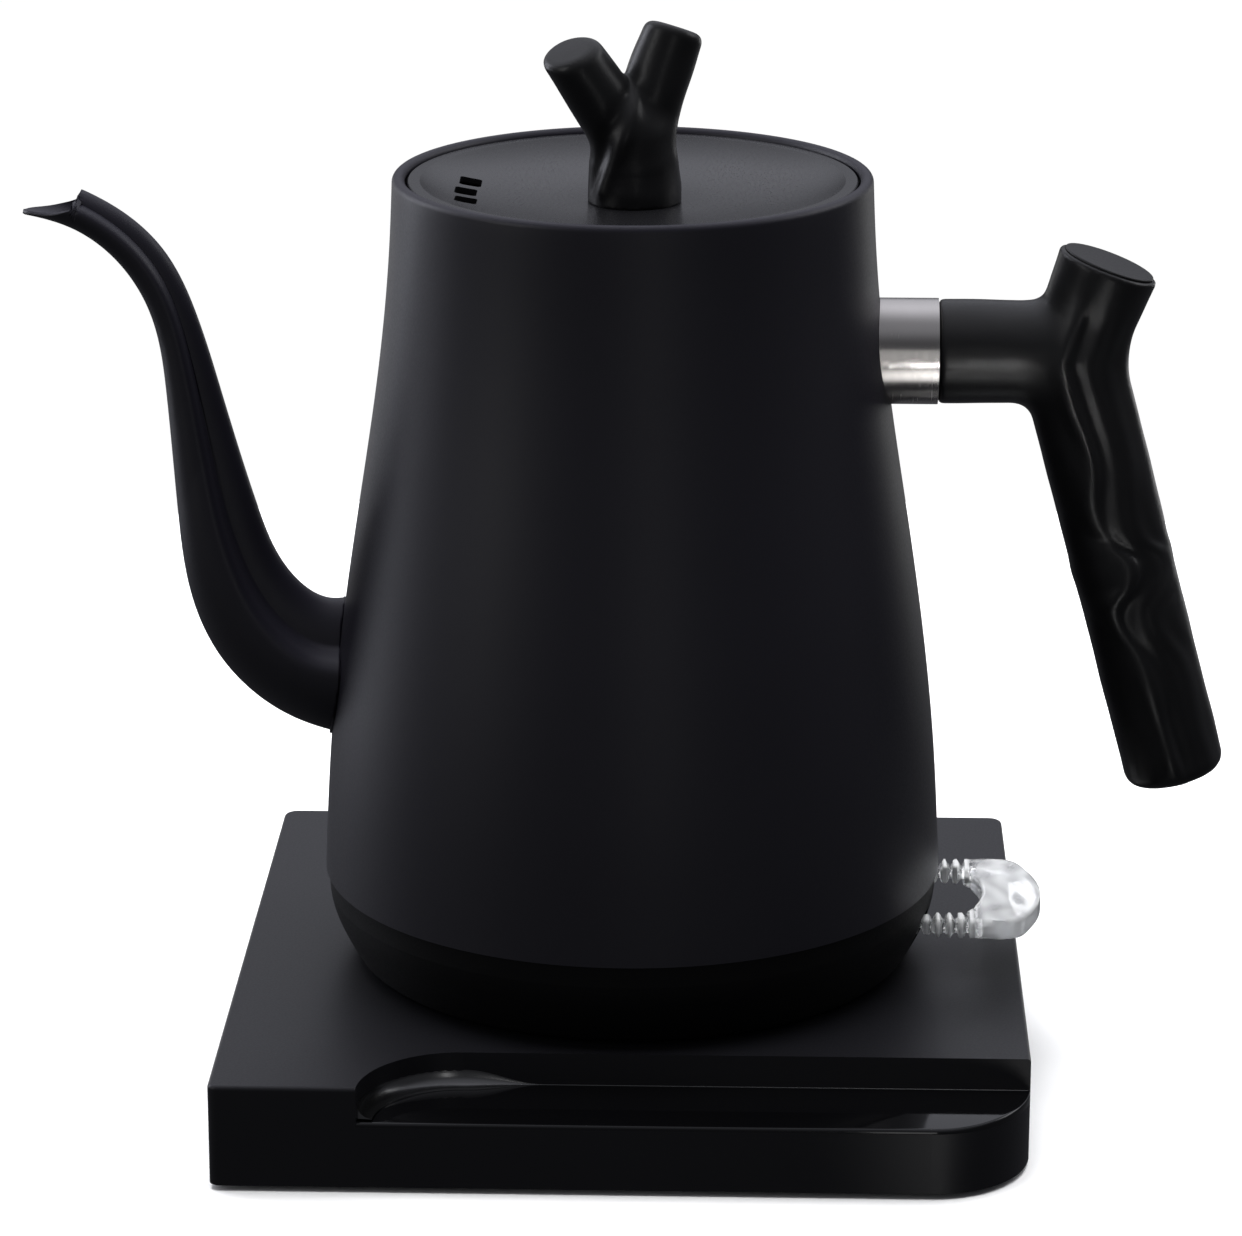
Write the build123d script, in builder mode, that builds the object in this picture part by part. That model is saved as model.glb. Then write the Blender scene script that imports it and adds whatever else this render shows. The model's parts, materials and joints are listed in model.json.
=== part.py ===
"""Electric gooseneck kettle on a square power base.

Units are millimetres. The origin is on the kettle's axis, on the surface that the base stands on.
+X points to the handle, -X to the spout, -Y to the front of the base, and +Z up.
"""

import os
from math import cos, hypot, radians, sin

from build123d import *

os.makedirs("parts", exist_ok=True)

# --------------------------------------------------------------------------------------------
# Driving dimensions
# --------------------------------------------------------------------------------------------

# Power base
BASE_SIDE = 161.0
BASE_TOP = 22.0
BASE_UNDERSIDE = 1.2
BASE_WALL = 2.2
BASE_EDGE = 0.8
PLATE_THICKNESS = 2.0
SHARP_CORNER = 2.0
REAR_CORNER = 3.0
ROUND_CORNER = 20.0
LEDGE_TOP = 15.3
LEDGE_DEPTH = 19.0
LEDGE_START_X = -51.5
LEDGE_CURVE = 20.0
PANEL_THICKNESS = 1.5
FOOT_RADIUS = 6.0
FOOT_HEIGHT = 1.7
FOOT_OFFSET = 63.0
BASE_SCREW_X = 52.0
BASE_SCREW_Y = 48.0
SCREW_POST_RADIUS = 3.6
BASE_SCREW_LENGTH = 12.0
LOCATING_RING = (17.0, 19.0)
LOCATING_RING_HEIGHT = 3.0
CORD_HOLE_RADIUS = 5.5
CORD_BORE_RADIUS = 3.5
CORD_Z = 9.5
GROMMET_COLLAR = 2.0

# Connector between base and kettle
DOME_RADIUS = 15.0
DOME_TOP = 31.0
PLUG_RADIUS = 20.0
PLUG_TOP = 36.0
PIN_RADIUS = 2.2
INNER_RING = (6.3, 7.2)
OUTER_RING = (11.0, 11.9)
RING_BOTTOM = 20.0
RING_TOP = 34.6
RING_FIT = 0.05

# Vessel
WALL = 0.9
BODY_BOTTOM = 41.0
RIM_TOP = 186.0
RIM_WIRE = 1.3
BODY_PROFILE = ((63.6, BODY_BOTTOM), (62.4, 63.8), (57.0, 109.3), (51.2, 147.0), (48.6, 174.0), (48.1, 184.7))
LID_LEDGE_RADIUS = 43.2
LID_LEDGE_Z = 181.6
LID_LEDGE_THICKNESS = 0.8
FLOOR_Z = 46.0
FLOOR_THICKNESS = 1.2
SPREADER_RADIUS = 50.0
SPREADER_THICKNESS = 3.0
ELEMENT_RADIUS = 46.0
ELEMENT_TUBE = 3.1
STEAM_X = 30.0
STEAM_TUBE_RADIUS = 4.0
STEAM_TUBE_TOP = 166.0

# Skirt under the vessel
SKIRT_BOTTOM = 22.6
SKIRT_WALL = 1.8
SKIRT_TOP = 40.8
SKIRT_FLOOR = 1.8
SKIRT_POST_ANGLES = (60.0, 180.0, 300.0)
SKIRT_POST_CIRCLE = 53.0
SKIRT_SIDE = ((63.0, SKIRT_TOP), (62.8, 36.5), (60.9, 30.0), (57.4, 23.6), (56.2, SKIRT_BOTTOM))
SKIRT_POST_RADIUS = 2.6
LEVER_SLOT_Z = (26.6, 35.2)

# Switch lever
LEVER_PIVOT_X = 44.0
LEVER_Z = (31.0, 34.3)
LEVER_HALF_WIDTH = 17.4
LEVER_ARM = 4.0
LEVER_TIP_X = 85.0
LEVER_HOLE_CORNER_X = 69.0
LEVER_HOLE_X = 72.8
LEVER_CORNER = 3.5
LEVER_PIN_RADIUS = 1.2
LEVER_BORE_RADIUS = 1.27

# Handle
HANDLE_Z = 150.0
COLLAR_RADIUS = 10.7
COLLAR_END_X = 61.5
SPIGOT_RADIUS = 8.6
HANDLE_SCREW_RADIUS = 2.0
INSIDE_WALL_X = 45.0

# Lid
LID_RADIUS = 45.0
LID_FLANGE_Z = 185.0
LID_DISH_Z = 180.5
LID_SHEET = 1.2
PAN_RADIUS = 42.4
PAN_BOTTOM = 170.0
SLOT_LENGTH = 4.4
SLOT_WIDTH = 6.0
SLOT_CORNER = 0.8
PAN_WALL = 0.7
PAN_HOLES = (30.0, 10, 1.5)
SEAL_Z = 173.0

# Spout: each station is the point on the crown, the point on the belly, and the width across
SPOUT_WALL = 0.9
EGG = 0.12
SPOUT_STATIONS = (
    ((-57.0, 96.6), (-57.0, 66.4), 25.0),
    ((-66.8, 98.4), (-72.6, 72.2), 21.5),
    ((-71.9, 104.6), (-83.8, 81.9), 18.5),
    ((-75.6, 113.2), (-90.9, 99.4), 16.5),
    ((-79.3, 125.0), (-93.5, 121.7), 14.4),
    ((-84.4, 143.6), (-94.9, 141.8), 12.0),
    ((-89.1, 159.3), (-97.5, 156.8), 10.4),
    ((-94.9, 170.2), (-102.8, 166.0), 9.8),
    ((-103.7, 178.4), (-109.7, 171.8), 9.6),
    ((-113.0, 182.8), (-117.6, 175.4), 9.4),
    ((-123.6, 186.0), (-126.6, 177.4), 9.0),
)
MOUTH_CROWN = (-110.4, 181.5)
MOUTH_BEAK = (-122.9, 176.7)
SPOUT_ROOT_Z = 82.0
STRAINER_RADIUS = 12.0


# --------------------------------------------------------------------------------------------
# Shared shapes
# --------------------------------------------------------------------------------------------


def vessel_solid(inset: float) -> Part:
    """The vessel's outer form, moved in by inset."""
    points = [(radius - inset, height) for radius, height in BODY_PROFILE]
    first, last = points[0], points[-1]
    with BuildPart() as solid:
        with BuildSketch(Plane.XZ):
            with BuildLine():
                Spline(*points)
                Polyline(last, (0, last[1]), (0, first[1]), first)
            make_face()
        revolve(axis=Axis.Z)
    return solid.part


def base_plan(inset: float) -> Sketch:
    """The power base's outline, moved in by inset: one corner is large, the others are small."""
    half = BASE_SIDE / 2 - inset
    with BuildSketch() as plan:
        Rectangle(2 * half, 2 * half)
        fillet(plan.vertices().sort_by_distance((half, -half))[0], ROUND_CORNER - inset)
        fillet(plan.vertices().sort_by_distance((-half, -half))[0], max(SHARP_CORNER - inset, 0.5))
        for x in (-half, half):
            fillet(plan.vertices().sort_by_distance((x, half))[0], max(REAR_CORNER - inset, 0.5))
    return plan.sketch


def ledge_plan(inset: float) -> Sketch:
    """The low ledge along the front edge, which starts with a quarter circle on the left."""
    rear = -BASE_SIDE / 2 + LEDGE_DEPTH - inset
    start = LEDGE_START_X + inset
    curve = LEDGE_CURVE - inset
    outside = BASE_SIDE / 2 + 10.0
    with BuildSketch() as plan:
        with BuildLine():
            Polyline((start, rear - curve), (start, -outside), (outside, -outside), (outside, rear),
                     (start + curve, rear))
            RadiusArc((start + curve, rear), (start, rear - curve), -curve)
        make_face()
    return plan.sketch


def limb(start: tuple, start_radius: float, end: tuple, end_radius: float) -> Part:
    """A round, tapered limb in the plane of the handle, from one (x, z) point to another."""
    length = hypot(end[0] - start[0], end[1] - start[1])
    along = ((end[0] - start[0]) / length, 0, (end[1] - start[1]) / length)
    with BuildPart() as solid:
        with BuildSketch(Plane((start[0], 0, start[1]), x_dir=(0, 1, 0), z_dir=along)):
            Circle(start_radius)
        with BuildSketch(Plane((end[0], 0, end[1]), x_dir=(0, 1, 0), z_dir=along)):
            Circle(end_radius)
        loft()
    return solid.part


def spout_ring(crown: tuple, belly: tuple, width: float, inset: float) -> Face:
    """One egg-shaped ring across the gooseneck, wider on the belly, moved in by inset."""
    across = (crown[0] - belly[0], 0, crown[1] - belly[1])
    length = hypot(across[0], across[2])
    middle = ((crown[0] + belly[0]) / 2, 0, (crown[1] + belly[1]) / 2)
    normal = (-across[2] / length, 0, across[0] / length)
    half_width, half_length = width / 2 - inset, length / 2 - inset
    points = [
        (half_width * cos(turn) * (1 + EGG * sin(turn)), half_length * sin(turn))
        for turn in (radians(45 * step) for step in range(8))
    ]
    with BuildSketch(Plane(middle, x_dir=(0, 1, 0), z_dir=normal)) as ring:
        with BuildLine():
            Spline(*points, periodic=True)
        make_face()
    return ring.sketch.face()


def spout_solid(inset: float) -> Part:
    """The gooseneck as lofts from each ring to the next, moved in by inset."""
    rings = [spout_ring(*station, inset) for station in SPOUT_STATIONS]
    with BuildPart() as solid:
        for lower, upper in zip(rings, rings[1:]):
            loft([lower, upper])
    return solid.part


def write(piece: BuildPart, name: str) -> None:
    """Label a finished piece and write its STEP file."""
    piece.part.label = name
    export_step(piece.part, f"parts/{name}.step")


# --------------------------------------------------------------------------------------------
# Power base
# --------------------------------------------------------------------------------------------

SCREW_PLACES = [(x, y) for x in (-BASE_SCREW_X, BASE_SCREW_X) for y in (-BASE_SCREW_Y, BASE_SCREW_Y)]
FOOT_PLACES = [(x, y) for x in (-FOOT_OFFSET, FOOT_OFFSET) for y in (-FOOT_OFFSET, FOOT_OFFSET)]
PLATE_TOP = BASE_UNDERSIDE + PLATE_THICKNESS
PANEL_SEAT = LEDGE_TOP - PANEL_THICKNESS
SCREW_SHAFT = 1.45
SCREW_HOLE = 1.5
SCREW_HEAD = 2.9
SCREW_HEAD_HEIGHT = 1.0
SCREW_SUNK = 0.2
SCREW_CROSS = (3.4, 0.9)

# The housing is a shell, open below, with the ledge cut into its front and posts for the screws.
with BuildPart() as base_cover:
    with BuildSketch(Plane.XY.offset(BASE_UNDERSIDE)):
        add(base_plan(0))
    extrude(amount=BASE_TOP - BASE_UNDERSIDE)
    fillet(base_cover.faces().sort_by(Axis.Z)[-1].edges(), BASE_EDGE)
    with BuildSketch(Plane.XY.offset(PANEL_SEAT)):
        add(ledge_plan(0))
    extrude(amount=BASE_TOP, mode=Mode.SUBTRACT)
    with BuildSketch(Plane.XY.offset(BASE_UNDERSIDE)):
        add(base_plan(BASE_WALL))
        add(ledge_plan(-BASE_WALL), mode=Mode.SUBTRACT)
    extrude(amount=BASE_TOP - BASE_WALL - BASE_UNDERSIDE, mode=Mode.SUBTRACT)
    with BuildSketch(Plane.XY.offset(BASE_UNDERSIDE)):
        add(base_plan(BASE_WALL))
    extrude(amount=PANEL_SEAT - BASE_WALL - BASE_UNDERSIDE, mode=Mode.SUBTRACT)
    with BuildSketch(Plane.XY.offset(PLATE_TOP)):
        with Locations(*SCREW_PLACES):
            Circle(SCREW_POST_RADIUS)
    extrude(amount=BASE_TOP - BASE_WALL / 2 - PLATE_TOP)
    with BuildSketch(Plane.XY.offset(PLATE_TOP)):
        with Locations(*SCREW_PLACES):
            Circle(SCREW_HOLE)
    extrude(amount=BASE_SCREW_LENGTH, mode=Mode.SUBTRACT)
    with BuildSketch(Plane.XY.offset(BASE_TOP - 2 * BASE_WALL)):
        Circle(DOME_RADIUS + 0.3)
    extrude(amount=3 * BASE_WALL, mode=Mode.SUBTRACT)
    with BuildSketch(Plane((0, BASE_SIDE / 2 + 1, CORD_Z), x_dir=(1, 0, 0), z_dir=(0, -1, 0))):
        Circle(CORD_HOLE_RADIUS)
    extrude(amount=2 * BASE_WALL, mode=Mode.SUBTRACT)
write(base_cover, "base_cover")

# The gloss inlay lies on the ledge and runs out to the base's outline.
with BuildPart() as ledge_panel:
    with BuildSketch(Plane.XY.offset(PANEL_SEAT)):
        add(ledge_plan(0.1))
        add(base_plan(0), mode=Mode.INTERSECT)
    extrude(amount=PANEL_THICKNESS)
    top_edges = ledge_panel.faces().sort_by(Axis.Z)[-1].edges()
    fillet(top_edges.filter_by(lambda edge: (edge @ 0.5).Y < -BASE_SIDE / 2 + 0.1), BASE_EDGE)
write(ledge_panel, "ledge_panel")

with BuildPart() as base_bottom:
    with BuildSketch(Plane.XY.offset(BASE_UNDERSIDE)):
        add(base_plan(BASE_WALL + 0.2))
    extrude(amount=PLATE_TOP - BASE_UNDERSIDE)
    with BuildSketch(Plane.XY.offset(BASE_UNDERSIDE)):
        with Locations(*FOOT_PLACES):
            Circle(FOOT_RADIUS)
    extrude(amount=FOOT_HEIGHT - BASE_UNDERSIDE, mode=Mode.SUBTRACT)
    with BuildSketch(Plane.XY.offset(BASE_UNDERSIDE)):
        with Locations(*SCREW_PLACES):
            Circle(SCREW_HEAD + 0.1)
    extrude(amount=SCREW_SUNK + SCREW_HEAD_HEIGHT, mode=Mode.SUBTRACT)
    with BuildSketch(Plane.XY.offset(BASE_UNDERSIDE)):
        with Locations(*SCREW_PLACES):
            Circle(SCREW_HOLE)
    extrude(amount=PLATE_THICKNESS, mode=Mode.SUBTRACT)
    with BuildSketch(Plane.XY.offset(PLATE_TOP)):
        Circle(LOCATING_RING[1])
        Circle(LOCATING_RING[0], mode=Mode.SUBTRACT)
    extrude(amount=LOCATING_RING_HEIGHT)
write(base_bottom, "base_bottom")

with BuildPart() as base_feet:
    with BuildSketch():
        with Locations(*FOOT_PLACES):
            Circle(FOOT_RADIUS)
    extrude(amount=FOOT_HEIGHT)
    chamfer(base_feet.faces().group_by(Axis.Z)[0].edges(), 0.4)
write(base_feet, "base_feet")

with BuildPart() as base_screws:
    with BuildSketch(Plane.XY.offset(BASE_UNDERSIDE + SCREW_SUNK)):
        with Locations(*SCREW_PLACES):
            Circle(SCREW_HEAD)
    extrude(amount=SCREW_HEAD_HEIGHT)
    with BuildSketch(Plane.XY.offset(BASE_UNDERSIDE + SCREW_SUNK)):
        with Locations(*SCREW_PLACES):
            Circle(SCREW_SHAFT)
    extrude(amount=BASE_SCREW_LENGTH)
    with BuildSketch(Plane.XY.offset(BASE_UNDERSIDE)):
        with Locations(*SCREW_PLACES):
            Rectangle(*SCREW_CROSS)
            Rectangle(*reversed(SCREW_CROSS))
    extrude(amount=SCREW_HEAD_HEIGHT - SCREW_SUNK, mode=Mode.SUBTRACT)
write(base_screws, "base_screws")

# A rubber grommet lines the hole in the rear wall, with a collar on each side of the wall.
with BuildPart() as cord_gland:
    with BuildSketch(Plane((0, BASE_SIDE / 2, CORD_Z), x_dir=(1, 0, 0), z_dir=(0, 1, 0))):
        Circle(CORD_HOLE_RADIUS - 0.05)
    extrude(amount=-BASE_WALL)
    with BuildSketch(Plane((0, BASE_SIDE / 2 - BASE_WALL, CORD_Z), x_dir=(1, 0, 0), z_dir=(0, -1, 0))):
        Circle(CORD_HOLE_RADIUS + 0.8)
    extrude(amount=GROMMET_COLLAR)
    with BuildSketch(Plane((0, BASE_SIDE / 2, CORD_Z), x_dir=(1, 0, 0), z_dir=(0, -1, 0))):
        Circle(CORD_BORE_RADIUS)
    extrude(amount=BASE_WALL + GROMMET_COLLAR, mode=Mode.SUBTRACT)
write(cord_gland, "cord_gland")

# --------------------------------------------------------------------------------------------
# 360 degree connector
# --------------------------------------------------------------------------------------------

DOME_GROOVES = ((10.2, 12.8), (5.6, 8.0))
DOME_HOLE = 3.2
GROOVE_BOTTOM = 16.0
GUTTER_BOTTOM = 9.0
DOME_BOTTOM = PLATE_TOP + LOCATING_RING_HEIGHT + 0.1
DOME_BEVEL = 2.0
GUTTER_WALL = (19.6, 22.0)
GUTTER_TOP = BASE_TOP - BASE_WALL - 0.2
CONTACT_THICKNESS = 0.4
CONTACT_HEIGHT = 10.0
PLUG_BOTTOM = 24.0
PLUG_WEB = 1.0

# The base half: a round dome with a centre hole and two ring grooves.
with BuildPart() as coupler_socket:
    with BuildSketch(Plane.XZ):
        with BuildLine():
            inner, outer = GUTTER_WALL
            Polyline((0, DOME_BOTTOM), (outer, DOME_BOTTOM), (outer, GUTTER_TOP), (inner, GUTTER_TOP),
                     (inner, GUTTER_BOTTOM), (DOME_RADIUS, GUTTER_BOTTOM), (DOME_RADIUS, DOME_TOP - DOME_BEVEL),
                     (DOME_RADIUS - DOME_BEVEL, DOME_TOP), (0, DOME_TOP), (0, DOME_BOTTOM))
        make_face()
    revolve(axis=Axis.Z)
    with BuildSketch(Plane.XY.offset(GROOVE_BOTTOM)):
        for inner, outer in DOME_GROOVES:
            Circle(outer)
            Circle(inner, mode=Mode.SUBTRACT)
        Circle(DOME_HOLE)
    extrude(amount=DOME_TOP - GROOVE_BOTTOM, mode=Mode.SUBTRACT)
write(coupler_socket, "coupler_socket")

# Spring contacts of the base half: a sleeve in the centre hole and one in each groove.
with BuildPart() as socket_contacts:
    with BuildSketch(Plane.XY.offset(GROOVE_BOTTOM)):
        for radius in (DOME_GROOVES[0][1], DOME_GROOVES[1][1], DOME_HOLE):
            Circle(radius)
            Circle(radius - CONTACT_THICKNESS, mode=Mode.SUBTRACT)
    extrude(amount=CONTACT_HEIGHT)
write(socket_contacts, "socket_contacts")

# The kettle half: a centre pin and two rings, carried by a moulded plug.
with BuildPart() as coupler_rings:
    with BuildSketch(Plane.XY.offset(RING_BOTTOM)):
        for inner, outer in (OUTER_RING, INNER_RING):
            Circle(outer)
            Circle(inner, mode=Mode.SUBTRACT)
        Circle(PIN_RADIUS)
    extrude(amount=RING_TOP - RING_BOTTOM)
write(coupler_rings, "coupler_rings")

with BuildPart() as coupler_plug:
    with BuildSketch(Plane.XY.offset(PLUG_BOTTOM)):
        Circle(PLUG_RADIUS)
        Circle(DOME_RADIUS + 0.8, mode=Mode.SUBTRACT)
    extrude(amount=PLUG_TOP - PLUG_BOTTOM)
    with BuildSketch(Plane.XY.offset(DOME_TOP + PLUG_WEB)):
        Circle(PLUG_RADIUS)
    extrude(amount=PLUG_TOP - DOME_TOP - PLUG_WEB)
    with BuildSketch(Plane.XY.offset(DOME_TOP)):
        for inner, outer in (OUTER_RING, INNER_RING):
            Circle(outer + RING_FIT)
            Circle(inner - RING_FIT, mode=Mode.SUBTRACT)
        Circle(PIN_RADIUS + RING_FIT)
    extrude(amount=RING_TOP + RING_FIT - DOME_TOP, mode=Mode.SUBTRACT)
write(coupler_plug, "coupler_plug")

# --------------------------------------------------------------------------------------------
# Vessel
# --------------------------------------------------------------------------------------------

HANDLE_HOLE = HANDLE_SCREW_RADIUS + 0.3
SPOUT_HOLE = 10.0
RIM_CENTRE = BODY_PROFILE[-1][0] - RIM_WIRE
LID_LEDGE_WIDTH = RIM_CENTRE + 0.7 - LID_LEDGE_RADIUS

# Drawn steel body: a thin conical wall, a rolled rim, and a ledge inside the mouth for the lid.
with BuildPart() as body_shell:
    add(vessel_solid(0))
    add(vessel_solid(WALL), mode=Mode.SUBTRACT)
    with BuildSketch(Plane.XZ):
        with Locations((RIM_CENTRE, RIM_TOP - RIM_WIRE)):
            Circle(RIM_WIRE)
        with Locations((LID_LEDGE_RADIUS + LID_LEDGE_WIDTH / 2, LID_LEDGE_Z - LID_LEDGE_THICKNESS / 2)):
            Rectangle(LID_LEDGE_WIDTH, LID_LEDGE_THICKNESS)
    revolve(axis=Axis.Z)
    with BuildSketch(Plane((0, 0, SPOUT_ROOT_Z), x_dir=(0, 1, 0), z_dir=(-1, 0, 0))):
        Circle(SPOUT_HOLE)
    extrude(amount=BASE_SIDE / 2, mode=Mode.SUBTRACT)
    with BuildSketch(Plane((0, 0, HANDLE_Z), x_dir=(0, 1, 0), z_dir=(1, 0, 0))):
        Circle(HANDLE_HOLE)
    extrude(amount=BASE_SIDE / 2, mode=Mode.SUBTRACT)
write(body_shell, "body_shell")

FLOOR_RADIUS = 62.3
FLOOR_FLANGE = 1.0
STUD_RADIUS = 2.2
STUD_HOLE = (1.25, 4.0)
POST_PLACES = [
    (SKIRT_POST_CIRCLE * cos(radians(angle)), SKIRT_POST_CIRCLE * sin(radians(angle)))
    for angle in SKIRT_POST_ANGLES
]

# The floor closes the body; its rim turns down along the wall and three studs carry the skirt.
with BuildPart() as vessel_floor:
    with BuildSketch(Plane.XY.offset(FLOOR_Z)):
        Circle(FLOOR_RADIUS)
    extrude(amount=FLOOR_THICKNESS)
    with BuildSketch(Plane.XY.offset(BODY_BOTTOM + 1)):
        Circle(FLOOR_RADIUS)
        Circle(FLOOR_RADIUS - FLOOR_FLANGE, mode=Mode.SUBTRACT)
    extrude(amount=FLOOR_Z - BODY_BOTTOM)
    with BuildSketch(Plane.XY.offset(SKIRT_TOP)):
        with Locations(*POST_PLACES):
            Circle(STUD_RADIUS)
    extrude(amount=FLOOR_Z - SKIRT_TOP)
    with BuildSketch(Plane.XY.offset(SKIRT_TOP)):
        with Locations(*POST_PLACES):
            Circle(STUD_HOLE[0])
    extrude(amount=STUD_HOLE[1], mode=Mode.SUBTRACT)
    with BuildSketch(Plane.XY.offset(BODY_BOTTOM)):
        with Locations((STEAM_X, 0)):
            Circle(STEAM_TUBE_RADIUS + 0.05)
    extrude(amount=10, mode=Mode.SUBTRACT)
write(vessel_floor, "vessel_floor")

with BuildPart() as heat_spreader:
    with BuildSketch(Plane.XY.offset(FLOOR_Z - SPREADER_THICKNESS)):
        Circle(SPREADER_RADIUS)
        with Locations((STEAM_X, 0)):
            Circle(STEAM_TUBE_RADIUS + 0.3, mode=Mode.SUBTRACT)
    extrude(amount=SPREADER_THICKNESS)
write(heat_spreader, "heat_spreader")

ELEMENT_Z = FLOOR_Z - SPREADER_THICKNESS - ELEMENT_TUBE
ELEMENT_GAP = 28.0

ELEMENT_ARC = 360.0 - 2 * ELEMENT_GAP
ELEMENT_START = 180.0 + ELEMENT_GAP
TERMINAL_RADIUS = 1.5
TERMINAL_LENGTH = 7.0
TERMINAL_PLACES = [
    (ELEMENT_RADIUS * cos(radians(180 + turn)), ELEMENT_RADIUS * sin(radians(180 + turn)))
    for turn in (-ELEMENT_GAP - 2, ELEMENT_GAP + 2)
]
ELEMENT_PLANE = Plane(
    (0, 0, 0),
    x_dir=(cos(radians(ELEMENT_START)), sin(radians(ELEMENT_START)), 0),
    z_dir=(sin(radians(ELEMENT_START)), -cos(radians(ELEMENT_START)), 0),
)

# The sheathed element is an open ring with a cold-end terminal at each end.
with BuildPart() as heating_element:
    with BuildSketch(ELEMENT_PLANE):
        with Locations((ELEMENT_RADIUS, ELEMENT_Z)):
            Circle(ELEMENT_TUBE)
    revolve(axis=Axis.Z, revolution_arc=ELEMENT_ARC)
    with BuildSketch(Plane.XY.offset(ELEMENT_Z)):
        with Locations(*TERMINAL_PLACES):
            Circle(TERMINAL_RADIUS)
    extrude(amount=-TERMINAL_LENGTH)
write(heating_element, "heating_element")

# The steam tube stands inside the vessel and ends over the steam disc.
STEAM_TUBE_FOOT = 39.0
with BuildPart() as steam_tube:
    with BuildSketch(Plane.XY.offset(STEAM_TUBE_FOOT)):
        with Locations((STEAM_X, 0)):
            Circle(STEAM_TUBE_RADIUS)
            Circle(STEAM_TUBE_RADIUS - 0.7, mode=Mode.SUBTRACT)
    extrude(amount=STEAM_TUBE_TOP - STEAM_TUBE_FOOT)
write(steam_tube, "steam_tube")

# --------------------------------------------------------------------------------------------
# Control under the floor
# --------------------------------------------------------------------------------------------

CONTROL_BOX = (50.0, 36.0)
CONTROL_X = -6.0
CONTROL_Z = (36.2, 42.4)
DRY_DISC_X = (-22.0, 10.0)
DRY_DISC_RADIUS = 6.0

with BuildPart() as control_body:
    with BuildSketch(Plane.XY.offset(CONTROL_Z[0])):
        with Locations((CONTROL_X, 0)):
            RectangleRounded(*CONTROL_BOX, 4)
    extrude(amount=CONTROL_Z[1] - CONTROL_Z[0])
    with BuildSketch(Plane.XY.offset(CONTROL_Z[1] - 1.0)):
        for x in DRY_DISC_X:
            with Locations((x, 0)):
                Circle(DRY_DISC_RADIUS + 0.3)
    extrude(amount=2, mode=Mode.SUBTRACT)
write(control_body, "control_body")

DISC_THICKNESS = 0.4

# Two bimetal discs face the hot plate and open the circuit if the kettle boils dry.
with BuildPart() as dry_boil_discs:
    with BuildSketch(Plane.XY.offset(CONTROL_Z[1] - 0.9)):
        for x in DRY_DISC_X:
            with Locations((x, 0)):
                Circle(DRY_DISC_RADIUS)
    extrude(amount=DISC_THICKNESS)
write(dry_boil_discs, "dry_boil_discs")

STEAM_DISC_Z = 38.0
STEAM_DISC_RADIUS = 7.0

with BuildPart() as steam_disc:
    with BuildSketch(Plane.XY.offset(STEAM_DISC_Z)):
        with Locations((STEAM_X, 0)):
            Circle(STEAM_DISC_RADIUS)
    extrude(amount=DISC_THICKNESS)
write(steam_disc, "steam_disc")

LEAF_LINE = ((20.4, 35.2), (24.0, 35.2), (30.0, 36.9), (37.0, 36.9))
LEAF_THICKNESS = 0.4
LEAF_WIDTH = 6.0

# The over-centre leaf spring reaches from the control towards the lever's cross bar.
with BuildPart() as trip_spring:
    with BuildSketch(Plane.XZ):
        with BuildLine():
            leaf = Polyline(*LEAF_LINE)
            offset(leaf, LEAF_THICKNESS / 2, side=Side.BOTH)
        make_face()
    extrude(amount=LEAF_WIDTH / 2, both=True)
write(trip_spring, "trip_spring")

# --------------------------------------------------------------------------------------------
# Skirt
# --------------------------------------------------------------------------------------------

SLOT_CLEARANCE = 0.8
LUG_INNER = 18.2
LUG_OUTER = 21.2
LEVER_MIDDLE = (LEVER_Z[0] + LEVER_Z[1]) / 2
LUG_SIZE = (7.0, 12.05)
SLOT_MIDDLE = sum(LEVER_SLOT_Z) / 2
SLOT_HEIGHT = LEVER_SLOT_Z[1] - LEVER_SLOT_Z[0]
SKIRT_SCREW = ((2.2, 1.2), (1.2, 21.0))


def skirt_solid(inset: float) -> Part:
    """The skirt's outer form: upright below the vessel, then turning in to a narrower foot."""
    rim, waist, turn, heel, foot = [(radius - inset, height) for radius, height in SKIRT_SIDE]
    heel, foot = (heel[0], heel[1] + inset / 2), (foot[0], foot[1] + inset)
    with BuildPart() as solid:
        with BuildSketch(Plane.XZ):
            with BuildLine():
                Polyline(foot, (0, foot[1]), (0, rim[1]), rim, waist)
                Spline(waist, turn, heel, tangents=[(-0.1, -1), (-0.62, -1)])
                Line(heel, foot)
            make_face()
        revolve(axis=Axis.Z)
    return solid.part


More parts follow.
